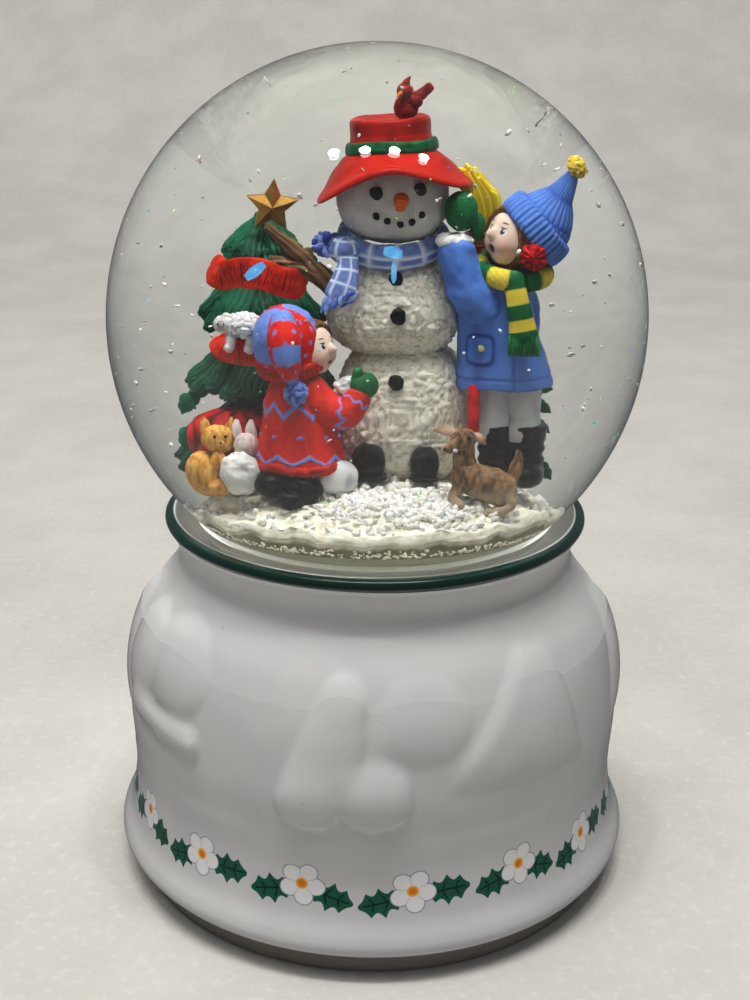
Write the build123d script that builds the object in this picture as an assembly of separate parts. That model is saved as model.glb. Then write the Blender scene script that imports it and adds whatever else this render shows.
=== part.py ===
"""Water-filled musical snow globe on a hollow glazed ceramic base.

Millimetres, +Z up. The origin is the centre of the base's foot, on the surface that it stands on,
and the front of the object faces -Y. A wound-spring music movement sits inside the base, a winding
key hangs in the recess under it, and a cast and painted snowman group stands in the glass ball.
"""
import os
from math import cos, pi, sin, sqrt, tau

from build123d import *

# Glass ball, neck and stopper
BALL_R = 50.0
GLASS_WALL = 2.0
BALL_Z = 109.0
NECK_R = 33.2
NECK_BORE_R = 31.2
NECK_BOTTOM_Z = 66.0
STOPPER_TOP_Z = 76.0
STOPPER_FLANGE_R = 34.6
SEAT_BORE_R = 34.9
SEAT_SHELF_Z = 62.5
SEAT_SHELF_R = 30.0

# Ceramic base
FOOT_R = 51.8
FOOT_ROLL_Z = 4.7
FOOT_RING_OUT_R = 48.0
FOOT_RING_IN_R = 45.8
CAVITY_R = 43.2
CAVITY_LEDGE_Z = 15.5
WAIST_R = 48.4
SHOULDER_R = 48.9
RIM_R = 40.8
RIM_TOP_Z = 73.1

# Cover plate in the foot recess
COVER_R = 45.4
COVER_THICK = 2.5
COVER_Z = CAVITY_LEDGE_Z - COVER_THICK
COVER_HOLE_R = 3.0
BEAD_DROP = 1.3
BEAD_WIDTH = 2.2

# Movement bedplate and screws
BED_THICK = 2.2
BED_TOP_Z = CAVITY_LEDGE_Z + BED_THICK
SCREW_R = 1.0
SCREW_HEAD_R = 2.1
SCREW_HEAD_H = 1.3
BED_SCREWS = [(-10.5, 9.0), (-10.5, -9.0), (29.0, 8.6)]

# Winding key and arbor
RUN_GAP = 0.05
ARBOR_R = 1.6
ARBOR_BOTTOM_Z = 6.0
ARBOR_TOP_Z = 36.2
COLLAR_R = 3.2
KEY_LOW_Z = 2.0
KEY_WING_W = 25.0
KEY_WING_H = 8.6
KEY_WING_T = 1.8
KEY_HUB_R = 3.1
KEY_HUB_TOP_Z = 12.4

# Spring barrel with the crown wheel on its flange
CROWN_TEETH = 48
CROWN_PINION_TEETH = 12
CROWN_MODULE = 0.51
CROWN_FACE = 2.0
CROWN_TOOTH_H = 1.15
FLANGE_Z = 19.8
FLANGE_THICK = 2.0
CROWN_R = CROWN_TEETH * CROWN_MODULE / 2
DRUM_R = 10.4
DRUM_WALL = 0.7
DRUM_TOP_Z = 33.2
LID_THICK = 0.8

# Note cylinder (axis along +X)
CYL_R = 6.5
CYL_WALL = 0.7
CYL_X0 = 17.0
CYL_X1 = 34.0
CYL_ARBOR_R = 0.9
PIN_R = 0.2
PIN_H = 0.55
TUNE_NOTES = 18
PINS_PER_NOTE = 4
CROWN_MESH_DEPTH = 0.85

# Governor train (module, tooth numbers and directions from one axis to the next)
TRAIN_MODULE_1 = 0.35
TRAIN_MODULE_2 = 0.30
CYL_WHEEL_TEETH = 40
SECOND_PINION_TEETH = 10
SECOND_WHEEL_TEETH = 40
FAN_PINION_TEETH = 8
TRAIN_DIRECTION_1 = 20.0
TRAIN_DIRECTION_2 = 100.0
FAN_BLADE_R = 4.3
FAN_BLADE_T = 0.3
FRAME_X_IN = 31.2
FRAME_X_OUT = 38.6
FRAME_THICK = 1.3
PIVOT_R = 0.6

# Comb
COMB_THICK = 1.0
COMB_BACK_Y = -21.0
COMB_TIP_GAP = 0.2
COMB_SLOT = 0.25
COMB_SLOT_LENGTH = 10.0
COMB_SCREWS = [(21.0, -18.8), (30.0, -18.8)]

# Figurine group
MOUND_R = 27.6
MOUND_EDGE_Z = 80.2
MOUND_TOP_Z = 88.3

# Values that follow from the ones above
CROWN_TOP_Z = FLANGE_Z + FLANGE_THICK + CROWN_TOOTH_H
CROWN_PINION_TIP_R = CROWN_MODULE * (CROWN_PINION_TEETH / 2 + 0.85)
CYL_Z = CROWN_TOP_Z - CROWN_MESH_DEPTH + CROWN_PINION_TIP_R


def polar(distance, angle_deg):
    """Return the (y, z) offset of a point at a distance and an angle above +Y."""
    angle = angle_deg * pi / 180
    return distance * cos(angle), distance * sin(angle)


CENTRES_1 = TRAIN_MODULE_1 * (CYL_WHEEL_TEETH + SECOND_PINION_TEETH) / 2
CENTRES_2 = TRAIN_MODULE_2 * (SECOND_WHEEL_TEETH + FAN_PINION_TEETH) / 2
SECOND_Y = polar(CENTRES_1, TRAIN_DIRECTION_1)[0]
SECOND_Z = CYL_Z + polar(CENTRES_1, TRAIN_DIRECTION_1)[1]
FAN_Y = SECOND_Y + polar(CENTRES_2, TRAIN_DIRECTION_2)[0]
FAN_Z = SECOND_Z + polar(CENTRES_2, TRAIN_DIRECTION_2)[1]


# ---------------------------------------------------------------- shape helpers
def turned(*segments):
    """Revolve a closed outline, given as edges in (radius, height), about the Z axis."""
    face = make_face([edge for segment in segments for edge in segment.edges()])
    return revolve(Plane.XZ * face, Axis.Z)


def turned_polygon(*points):
    """Revolve a straight-sided outline of (radius, height) points about the Z axis."""
    return turned(Polyline(*points, close=True))


def ellipsoid(centre, radii):
    """Return an ellipsoid with its half-axes along X, Y and Z."""
    return Pos(*centre) * scale(Sphere(1.0), by=radii)


def rod(start, end, r_start, r_end=None):
    """Return a round bar or a taper between two points."""
    span = Vector(*end) - Vector(*start)
    where = Plane(origin=Vector(*start) + span * 0.5, z_dir=span)
    if r_end is None or r_end == r_start:
        return where * Cylinder(r_start, span.length)
    return where * Cone(r_start, r_end, span.length)


def slab(centre, size, turn=(0, 0, 0)):
    """Return a box at a centre, turned by angles in degrees about X, Y and Z."""
    return Pos(*centre) * Rot(*turn) * Box(*size)


def largest(shape):
    """Return the largest solid of a shape, which drops loose slivers left by a cut."""
    return max(shape.solids(), key=lambda solid: solid.volume)


def along_x(x, y, z, first_tooth=(0, 0, -1)):
    """Return a plane whose normal is +X, for wheels that turn about the X axis."""
    return Plane(origin=(x, y, z), x_dir=first_tooth, z_dir=(1, 0, 0))


def gear(module, teeth, thickness, bore, gap_first=False):
    """Return a spur wheel about Z; a tooth, or a gap, is centred on its local +X."""
    pitch = tau / teeth
    tip_r = module * (teeth / 2 + 0.85)
    root_r = module * (teeth / 2 - 1.05)
    start = pitch / 2 if gap_first else 0.0
    outline = []
    for tooth in range(teeth):
        middle = start + tooth * pitch
        for radius, part in ((root_r, -0.27), (tip_r, -0.10), (tip_r, 0.10), (root_r, 0.27)):
            angle = middle + part * pitch
            outline.append((radius * cos(angle), radius * sin(angle)))
    wheel = extrude(make_face(Polyline(*outline, close=True)), thickness)
    if bore:
        wheel -= Pos(0, 0, thickness / 2) * Cylinder(bore, thickness * 2)
    return wheel


def screw(x, y, seat_z, length, up=True):
    """Return a cheese-head screw; its head lies below the seat, or above it if not up."""
    way = 1 if up else -1
    head = Pos(x, y, seat_z - way * SCREW_HEAD_H / 2) * Cylinder(SCREW_HEAD_R, SCREW_HEAD_H)
    slot = Pos(x, y, seat_z - way * SCREW_HEAD_H) * Box(2 * SCREW_HEAD_R, 0.6, 0.8)
    shank = Pos(x, y, seat_z + way * length / 2) * Cylinder(SCREW_R, length)
    return head - slot + shank


# ---------------------------------------------------------------- base and globe
def ceramic_base():
    """Bell-shaped slip-cast base: outer glaze line, rim lip, globe seat, cavity and a recessed foot ring."""
    outer = Spline(
        (40.3, 71.0), (38.1, 65.4), (40.3, 61.2), (44.5, 55.3), (47.4, 47.1),
        (SHOULDER_R, 35.5), (WAIST_R, 20.3), (FOOT_R, 7.5),
    )
    roll = ThreePointArc((FOOT_R, 7.5), (51.0, 5.52), (49.0, FOOT_ROLL_Z))
    ring = Polyline((49.0, FOOT_ROLL_Z), (FOOT_RING_OUT_R, 4.1), (FOOT_RING_OUT_R, 0.0))
    rim = ThreePointArc((40.3, 71.0), (RIM_R, 72.2), (39.9, RIM_TOP_Z))
    lip = Polyline((39.9, RIM_TOP_Z), (38.2, RIM_TOP_Z), (SEAT_BORE_R, 72.5), (SEAT_BORE_R, SEAT_SHELF_Z),
                   (SEAT_SHELF_R, SEAT_SHELF_Z), (SEAT_SHELF_R, 58.8))
    vault = ThreePointArc((SEAT_SHELF_R, 58.8), (40.3, 53.2), (CAVITY_R, 44.0))
    inside = Polyline((CAVITY_R, 44.0), (CAVITY_R, CAVITY_LEDGE_Z), (FOOT_RING_IN_R, CAVITY_LEDGE_Z),
                      (FOOT_RING_IN_R, 0.0), (FOOT_RING_OUT_R, 0.0))
    return turned(outer, roll, ring, rim, lip, vault, inside)


def glass_globe():
    """Blown ball with a straight neck, open at the bottom."""
    inner_r = BALL_R - GLASS_WALL
    outer_z = BALL_Z - sqrt(BALL_R ** 2 - NECK_R ** 2)
    inner_z = BALL_Z - sqrt(inner_r ** 2 - NECK_BORE_R ** 2)
    outer = ThreePointArc((0, BALL_Z + BALL_R), (BALL_R, BALL_Z), (NECK_R, outer_z))
    neck = Polyline((NECK_R, outer_z), (NECK_R, NECK_BOTTOM_Z), (NECK_BORE_R, NECK_BOTTOM_Z),
                    (NECK_BORE_R, inner_z))
    inner = ThreePointArc((NECK_BORE_R, inner_z), (inner_r, BALL_Z), (0, BALL_Z + inner_r))
    axis = Line((0, BALL_Z + inner_r), (0, BALL_Z + BALL_R))
    return turned(outer, neck, inner, axis)


def rubber_stopper():
    """Bung that closes the neck, with a flange under the end of the glass."""
    return turned_polygon(
        (0, SEAT_SHELF_Z),
        (STOPPER_FLANGE_R, SEAT_SHELF_Z),
        (STOPPER_FLANGE_R, NECK_BOTTOM_Z),
        (NECK_BORE_R, NECK_BOTTOM_Z),
        (NECK_BORE_R, STOPPER_TOP_Z),
        (0, STOPPER_TOP_Z),
    )


def sealant_ring():
    """Silicone between the glass neck and the bore of the ceramic seat."""
    return turned_polygon((NECK_R, NECK_BOTTOM_Z), (SEAT_BORE_R, NECK_BOTTOM_Z), (SEAT_BORE_R, 71.5),
                          (NECK_R, 71.5))


def settled_snow():
    """Loose flakes that have sunk into the gutter between the mound and the glass."""
    return turned_polygon((MOUND_R + 0.1, STOPPER_TOP_Z + 0.1), (30.9, STOPPER_TOP_Z + 0.1),
                          (32.8, STOPPER_TOP_Z + 1.4), (MOUND_R + 0.1, STOPPER_TOP_Z + 2.2))


def cover_plate():
    """Round plate glued up against the ledge in the foot; the movement hangs on it."""
    plate = Pos(0, 0, COVER_Z + COVER_THICK / 2) * Cylinder(COVER_R, COVER_THICK)
    plate -= Pos(0, 0, COVER_Z) * Cylinder(COVER_HOLE_R, 4 * COVER_THICK)
    for x, y in BED_SCREWS:
        plate -= Pos(x, y, COVER_Z) * Cylinder(SCREW_R, 4 * COVER_THICK)
    return plate


def cover_bead():
    """Bead of adhesive in the corner under the cover plate's edge."""
    return turned_polygon((FOOT_RING_IN_R, COVER_Z), (FOOT_RING_IN_R, COVER_Z - BEAD_DROP),
                          (FOOT_RING_IN_R - BEAD_WIDTH, COVER_Z))


# ---------------------------------------------------------------- music movement
def bedplate():
    """Cast plate with the inner cylinder bearing and the block that carries the comb."""
    front_edge = [(-15, -12), (-12, -15), (15.5, -15), (15.5, -22.5), (34.0, -22.5)]
    back_edge = [(40.2, -11), (40.2, 11.6), (-12, 11.6), (-15, 9)]
    outline = Polyline(*front_edge, *back_edge, close=True)
    plate = Pos(0, 0, CAVITY_LEDGE_Z) * extrude(make_face(outline), BED_THICK)
    post_h = CYL_Z + 2.2 - BED_TOP_Z
    post = Pos(15.05, 0, BED_TOP_Z + post_h / 2) * Box(1.5, 5.0, post_h)
    block_h = CYL_Z - COMB_THICK / 2 - BED_TOP_Z
    block = Pos(25.5, -18.9, BED_TOP_Z + block_h / 2) * Box(17.6, 4.4, block_h)
    plate = plate + post + block
    plate -= Pos(0, 0, CAVITY_LEDGE_Z) * Cylinder(ARBOR_R + RUN_GAP, 10)
    plate -= along_x(15.05, 0, CYL_Z) * Cylinder(CYL_ARBOR_R + RUN_GAP, 4)
    for x, y in BED_SCREWS:
        plate -= Pos(x, y, CAVITY_LEDGE_Z) * Cylinder(SCREW_R, 4 * BED_THICK)
    for x, y in COMB_SCREWS:
        plate -= Pos(x, y, CYL_Z - 1.9) * Cylinder(SCREW_R, 3.8 - COMB_THICK / 2)
    for x, y in frame_screw_places():
        plate -= Pos(x, y, CAVITY_LEDGE_Z) * Cylinder(SCREW_R, 4 * BED_THICK)
    return plate


def movement_screws():
    """Three screws up through the cover plate into the bedplate."""
    return [screw(x, y, COVER_Z, COVER_THICK + BED_THICK - 0.2) for x, y in BED_SCREWS]


def winding_key():
    """Butterfly key: flat wing with rounded corners and two holes, and a tapped hub."""
    wing_z = KEY_LOW_Z + KEY_WING_H / 2
    profile = RectangleRounded(KEY_WING_W, KEY_WING_H, 3.4)
    profile -= Pos(-8, 0) * Circle(2.2) + Pos(8, 0) * Circle(2.2)
    wing = Pos(0, KEY_WING_T / 2, wing_z) * Rot(90, 0, 0) * extrude(profile, KEY_WING_T)
    hub_h = KEY_HUB_TOP_Z - KEY_LOW_Z - 1.0
    hub = Pos(0, 0, KEY_HUB_TOP_Z - hub_h / 2) * Cylinder(KEY_HUB_R, hub_h)
    socket_h = KEY_HUB_TOP_Z - ARBOR_BOTTOM_Z
    return wing + hub - Pos(0, 0, ARBOR_BOTTOM_Z + socket_h / 2) * Cylinder(ARBOR_R, socket_h)


def winding_arbor():
    """Spring arbor with its thrust collar; the key screws on to its lower end."""
    length = ARBOR_TOP_Z - ARBOR_BOTTOM_Z
    shaft = Pos(0, 0, ARBOR_BOTTOM_Z + length / 2) * Cylinder(ARBOR_R, length)
    collar_h = FLANGE_Z - BED_TOP_Z - 0.4
    collar = Pos(0, 0, BED_TOP_Z + 0.2 + collar_h / 2) * Cylinder(COLLAR_R, collar_h)
    groove = Pos(0, 0, 35.0) * (Cylinder(ARBOR_R + 1, 0.6) - Cylinder(1.2, 1.0))
    return shaft + collar - groove


def arbor_circlip():
    """Spring clip in the arbor's groove that keeps the barrel down."""
    ring = Cylinder(2.8, 0.6) - Cylinder(1.2, 1.0) - Pos(2, 0, 0) * Box(4, 1.6, 1.0)
    return Pos(0, 0, 35.0) * ring


def spring_barrel():
    """Open drum on a flange whose upper face carries the crown teeth."""
    flange = Pos(0, 0, FLANGE_Z + FLANGE_THICK / 2) * Cylinder(CROWN_R + CROWN_FACE / 2, FLANGE_THICK)
    drum_h = DRUM_TOP_Z - FLANGE_Z
    drum = Pos(0, 0, FLANGE_Z + drum_h / 2) * Cylinder(DRUM_R, drum_h)
    tooth_w = 0.36 * CROWN_MODULE * pi
    tooth_h = CROWN_TOOTH_H + FLANGE_THICK / 2
    barrel = flange + drum
    teeth = []
    for tooth in range(CROWN_TEETH):
        turn = Rot(0, 0, (tooth + 0.5) * 360 / CROWN_TEETH)
        teeth.append(turn * Pos(CROWN_R, 0, CROWN_TOP_Z - tooth_h / 2) * Box(CROWN_FACE, tooth_w, tooth_h))
    barrel = barrel + teeth
    bore_h = DRUM_TOP_Z - FLANGE_Z - FLANGE_THICK
    barrel -= Pos(0, 0, FLANGE_Z + FLANGE_THICK + bore_h / 2) * Cylinder(DRUM_R - DRUM_WALL, bore_h)
    return barrel - Pos(0, 0, FLANGE_Z) * Cylinder(ARBOR_R + RUN_GAP, 8)


def barrel_lid():
    """Pressed lid on top of the drum."""
    lid = Pos(0, 0, DRUM_TOP_Z + LID_THICK / 2) * Cylinder(DRUM_R, LID_THICK)
    return lid - Pos(0, 0, DRUM_TOP_Z) * Cylinder(ARBOR_R + RUN_GAP, 8)


def mainspring():
    """Coiled steel strip, drawn as its wound turns: rings of strip joined by one web."""
    low = FLANGE_Z + FLANGE_THICK + 0.3
    height = DRUM_TOP_Z - low - 0.3
    coil = None
    radius = 3.2
    while radius < DRUM_R - DRUM_WALL - 0.2:
        ring = Cylinder(radius, height) - Cylinder(radius - 0.45, height)
        coil = ring if coil is None else coil + ring
        radius += 0.9
    web_r0 = 2.9
    web_r1 = DRUM_R - DRUM_WALL - 0.75
    web = Pos((web_r0 + web_r1) / 2, 0, 0) * Box(web_r1 - web_r0, 0.4, height)
    return Pos(0, 0, low + height / 2) * (coil + web)


def note_cylinder():
    """Brass tube with closed ends and the tune's pins."""
    length = CYL_X1 - CYL_X0
    tube = Cylinder(CYL_R, length) - Cylinder(CYL_R - CYL_WALL, length - 2 * CYL_WALL)
    tube -= Cylinder(CYL_ARBOR_R, 2 * length)
    pitch = (length - 1.4) / TUNE_NOTES
    pins = []
    for note in range(TUNE_NOTES):
        along = -length / 2 + 0.7 + (note + 0.5) * pitch
        for beat in range(PINS_PER_NOTE):
            angle = (note * 47 + beat * 90 + beat * note * 13) % 360
            pin = Pos(CYL_R + PIN_H / 2 - 0.2, 0, along) * Rot(0, 90, 0) * Cylinder(PIN_R, PIN_H + 0.4)
            pins.append(Rot(0, 0, angle) * pin)
    return along_x((CYL_X0 + CYL_X1) / 2, 0, CYL_Z) * (tube + pins)


def cylinder_arbor():
    """Steel arbor of the note cylinder, with the crown pinion cut on its inner end."""
    x0 = CROWN_R - CROWN_FACE / 2 + 0.2
    x1 = FRAME_X_OUT + FRAME_THICK + 0.3
    shaft = along_x((x0 + x1) / 2, 0, CYL_Z) * Cylinder(CYL_ARBOR_R, x1 - x0)
    pinion = along_x(x0, 0, CYL_Z) * gear(CROWN_MODULE, CROWN_PINION_TEETH, CROWN_FACE - 0.3, 0)
    return shaft + pinion


def cylinder_wheel():
    """Brass wheel on the outer end of the note cylinder."""
    toward = (0, SECOND_Y, SECOND_Z - CYL_Z)
    return along_x(34.6, 0, CYL_Z, toward) * gear(TRAIN_MODULE_1, CYL_WHEEL_TEETH, 1.1, CYL_ARBOR_R)


def second_wheel():
    """Intermediate arbor of the governor train, one piece with its pinion and wheel."""
    x0 = FRAME_X_IN
    x1 = FRAME_X_OUT + FRAME_THICK + 0.3
    shaft = along_x((x0 + x1) / 2, SECOND_Y, SECOND_Z) * Cylinder(PIVOT_R, x1 - x0)
    back = (0, -SECOND_Y, CYL_Z - SECOND_Z)
    onward = (0, FAN_Y - SECOND_Y, FAN_Z - SECOND_Z)
    pinion = along_x(34.4, SECOND_Y, SECOND_Z, back) * gear(TRAIN_MODULE_1, SECOND_PINION_TEETH, 1.6, 0, True)
    wheel = along_x(36.7, SECOND_Y, SECOND_Z, onward) * gear(TRAIN_MODULE_2, SECOND_WHEEL_TEETH, 1.0, 0)
    return shaft + pinion + wheel


def governor_fan():
    """Air brake: thin arbor with a pinion and two flat blades."""
    x0 = FRAME_X_IN
    x1 = FRAME_X_OUT + FRAME_THICK + 0.3
    shaft = along_x((x0 + x1) / 2, FAN_Y, FAN_Z) * Cylinder(PIVOT_R, x1 - x0)
    back = (0, SECOND_Y - FAN_Y, SECOND_Z - FAN_Z)
    pinion = along_x(36.5, FAN_Y, FAN_Z, back) * gear(TRAIN_MODULE_2, FAN_PINION_TEETH, 1.4, 0, True)
    blades = Pos(34.4, FAN_Y, FAN_Z) * Box(3.0, 2 * FAN_BLADE_R, FAN_BLADE_T)
    return shaft + pinion + blades


def frame_screw_places():
    """Places of the two screws that hold the governor frame."""
    return [(35.6, -9.2), (35.6, 9.6)]


def governor_frame():
    """Bent bracket with two cheeks that hold the outer ends of the train."""
    foot_z = BED_TOP_Z + 0.5
    top = FAN_Z + 2.2
    gap = FRAME_X_OUT - FRAME_X_IN
    foot_out = Pos(FRAME_X_IN + gap / 2, 9.4, foot_z) * Box(gap + 1.2, 3.2, 1.0)
    foot_in = Pos(FRAME_X_OUT - 2.4, -9.0, foot_z) * Box(5.0, 4.4, 1.0)
    cheek_h = top - BED_TOP_Z
    outer = Pos(FRAME_X_OUT + FRAME_THICK / 2, 0, BED_TOP_Z + cheek_h / 2) * Box(FRAME_THICK, 22.0, cheek_h)
    outer -= Pos(FRAME_X_OUT, -11, top) * Box(8, 20, 2 * (top - CYL_Z - 3.5))
    inner = Pos(FRAME_X_IN - FRAME_THICK / 2 + 0.35, 9.4, BED_TOP_Z + cheek_h / 2) * Box(0.7, 3.2, cheek_h)
    arm = Pos(FRAME_X_IN - FRAME_THICK / 2 + 0.35, 7.6, FAN_Z) * Box(0.7, 6.4, 4.4)
    frame = foot_out + foot_in + outer + inner + arm
    pivots = [(0, CYL_Z, CYL_ARBOR_R), (SECOND_Y, SECOND_Z, PIVOT_R), (FAN_Y, FAN_Z, PIVOT_R)]
    for y, z, r in pivots:
        frame -= along_x(FRAME_X_OUT, y, z) * Cylinder(r + RUN_GAP, 6)
    for y, z, r in pivots[1:]:
        frame -= along_x(FRAME_X_IN, y, z) * Cylinder(r + RUN_GAP, 3)
    for x, y in frame_screw_places():
        frame -= Pos(x, y, foot_z) * Cylinder(SCREW_R, 4)
    return frame


def comb():
    """Steel comb: one plate cut into a tooth for each note."""
    tip_y = -(CYL_R + PIN_H + COMB_TIP_GAP)
    depth = tip_y - COMB_BACK_Y
    plate = Pos(25.5, (tip_y + COMB_BACK_Y) / 2, CYL_Z) * Box(CYL_X1 - CYL_X0 - 1.0, depth, COMB_THICK)
    pitch = (CYL_X1 - CYL_X0 - 1.4) / TUNE_NOTES
    for slot in range(1, TUNE_NOTES):
        x = CYL_X0 + 0.7 + slot * pitch
        plate -= Pos(x, tip_y - COMB_SLOT_LENGTH / 2, CYL_Z) * Box(COMB_SLOT, COMB_SLOT_LENGTH, 2)
    for x, y in COMB_SCREWS:
        plate -= Pos(x, y, CYL_Z) * Cylinder(SCREW_R, 4)
    return plate


def bench_screws():
    """Four like screws: two clamp the comb to its block, two hold the governor frame's feet."""
    on_comb = [screw(x, y, CYL_Z + COMB_THICK / 2, 3.2, up=False) for x, y in COMB_SCREWS]
    return on_comb + [screw(x, y, BED_TOP_Z + 1.0, 3.2, up=False) for x, y in frame_screw_places()]


# ---------------------------------------------------------------- figurine group
def snow_mound():
    """Cast ground: a disc on the stopper with a domed snow bank on it."""
    bank = ThreePointArc((MOUND_R, MOUND_EDGE_Z), (16.0, 86.0), (0, MOUND_TOP_Z))
    sides = Polyline((0, MOUND_TOP_Z), (0, STOPPER_TOP_Z), (MOUND_R, STOPPER_TOP_Z), (MOUND_R, MOUND_EDGE_Z))
    return turned(bank, sides)


def hat_place():
    """Place of the snowman's hat: tipped back a little and to one side."""
    return Pos(2.0, 0.0, 129.6) * Rot(-12, -4, 0)


def snowman():
    """Snowman: two body balls, head, coals, carrot, boots, hat and scarf, from the face outwards."""
    yield "carrot_nose", rod((3.2, -6.4, 128.2), (3.1, -9.6, 128.0), 1.0, 0.35)
    eyes = [rod((x, -7.7, z), (x, -5.9, z), 0.75) for x, z in ((-0.2, 129.2), (5.8, 129.8))]
    smile = [(3.1 + 3.2 * sin(a), 127.9 - 3.6 * cos(a)) for a in (-1.0, -0.5, 0, 0.5, 1.0)]
    yield "coal_face", eyes + [rod((x, -7.9, z), (x, -6.2, z), 0.45) for x, z in smile]
    yield "hat_band", hat_place() * Pos(0, 0, 2.2) * (Cylinder(6.5, 2.2) - Cylinder(5.9, 3.0))
    crown = Pos(0, 0, 4.4) * Cylinder(5.9, 8.2)
    brim = Pos(0, 0, 0.6) * Cylinder(10.6, 1.4)
    yield "hat", hat_place() * (crown + brim)
    yield "snowman_head", ellipsoid((2.0, -0.2, 126.2), (7.8, 7.5, 6.6))
    wrap = Pos(1.9, -0.4, 119.9) * Rot(-6, 0, 0) * Torus(6.6, 1.6)
    tail = slab((-5.0, -8.3, 115.4), (4.2, 1.4, 8.6), (-8, 12, -14))
    frill = ellipsoid((-8.0, -4.4, 121.0), (2.6, 1.6, 2.2))
    yield "snowman_scarf", [wrap + tail + frill]
    buttons = [(2.6, -8.3, 116.4, 0.9), (3.1, -9.1, 111.6, 1.05), (2.9, -9.9, 101.8, 1.0)]
    yield "coal_buttons", [Pos(x, y, z) * Sphere(r) for x, y, z, r in buttons]
    yield "snowman_upper_body", ellipsoid((2.4, 0, 111.6), (9.2, 8.9, 8.4))
    yield "snowman_boots", [ellipsoid((x, -8.8, 89.6), (2.7, 2.4, 3.6)) for x in (-1.1, 7.0)]
    yield "snowman_lower_body", ellipsoid((3.6, 0, 96.6), (9.5, 9.6, 10.0))


def props():
    """Twig arm, bird on the hat and the broom that stands beside the snowman."""
    branch = rod((-5.6, -4.6, 114.6), (-15.0, -5.0, 122.6), 1.1, 0.7)
    fork = rod((-10.8, -4.8, 119.0), (-10.6, -4.6, 122.6), 0.7, 0.5)
    spur = rod((-9.0, -4.8, 117.4), (-14.8, -5.4, 118.2), 0.8, 0.5)
    yield "twig_arm", branch + fork + spur
    body = ellipsoid((4.2, 1.2, 140.4), (1.5, 1.7, 2.2))
    tail = rod((4.8, 1.8, 140.4), (6.9, 2.4, 141.8), 0.7, 0.5)
    yield "cardinal", body + tail + ellipsoid((3.7, 0.8, 142.6), (0.9, 0.9, 1.1))
    bristles = rod((13.8, 3.4, 119.0), (13.8, 4.0, 130.6), 1.5, 2.7)
    yield "broom", [bristles, rod((14.0, -5.2, 88.0), (14.0, -3.4, 103.0), 1.1)]


def standing_child():
    """Child in a blue coat, reaching up with one arm."""
    yield "standing_child_earmuff", rod((21.2, -5.2, 120.0), (22.0, -7.4, 119.9), 1.9)
    cap = rod((22.3, -3.0, 121.6), (27.6, -2.2, 129.9), 4.9, 1.2)
    pompom = Pos(28.6, -2.2, 131.8) * Sphere(1.8)
    yield "standing_child_hat", cap + rod((20.9, -3.2, 119.6), (23.2, -3.0, 122.8), 5.1) + pompom
    yield "standing_child_head", ellipsoid((19.4, -3.6, 120.6), (4.3, 4.2, 4.7))
    wrap = Pos(19.8, -3.0, 115.7) * Rot(0, 8, 0) * Torus(3.5, 1.5)
    yield "standing_child_scarf", wrap + slab((22.0, -7.0, 110.4), (3.2, 1.4, 8.4), (0, 6, 10))
    cuff = rod((11.2, -4.2, 123.4), (11.4, -4.4, 120.9), 2.3)
    yield "standing_child_mitten", ellipsoid((11.3, -4.0, 125.0), (2.1, 2.0, 2.6)) + cuff
    skirt = Pos(18.2, -1.8, 108.3) * scale(Cone(6.8, 4.2, 15.4), by=(1.0, 0.86, 1.0))
    arm = rod((16.8, -3.2, 113.4), (11.6, -4.6, 119.4), 3.6, 2.7)
    shoulders = ellipsoid((19.2, -2.4, 114.2), (5.0, 4.4, 3.2))
    yield "standing_child_coat", skirt + shoulders + arm
    yield "standing_child_boots", [slab((x, -4.0, 91.0), (3.9, 5.0, 7.4)) for x in (17.6, 22.0)]
    yield "standing_child_trousers", Pos(19.2, -2.8, 97.4) * scale(Cylinder(1.0, 8.0), by=(4.0, 3.0, 1.0))


def kneeling_child():
    """Child in a red patterned coat, kneeling and patting the snowman."""
    cap = ellipsoid((-13.0, -12.0, 110.0), (4.5, 4.4, 4.8))
    tail = rod((-13.6, -15.2, 108.2), (-12.0, -16.0, 103.2), 1.7, 1.0)
    yield "kneeling_child_hat", cap + tail + Pos(-11.6, -15.6, 101.6) * Sphere(1.6)
    yield "kneeling_child_head", ellipsoid((-9.2, -11.6, 107.6), (3.7, 3.8, 4.0))
    cuff = rod((-2.6, -12.8, 101.4), (-5.0, -13.0, 100.4), 1.6)
    yield "kneeling_child_mitten", ellipsoid((-1.7, -12.6, 102.0), (1.9, 1.8, 2.1)) + cuff
    skirt = Pos(-11.0, -12.4, 96.8) * scale(Cone(6.5, 4.0, 14.8), by=(1.0, 0.84, 1.0))
    arm = rod((-9.6, -13.2, 102.0), (-4.2, -13.4, 99.8), 2.4, 2.0)
    yield "kneeling_child_coat", skirt + arm
    boots = rod((-9.0, -18.2, 86.6), (-16.0, -16.4, 87.2), 1.9)
    yield "kneeling_child_legs", [ellipsoid((-6.6, -15.6, 88.6), (3.0, 2.6, 2.6)), boots]


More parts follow.
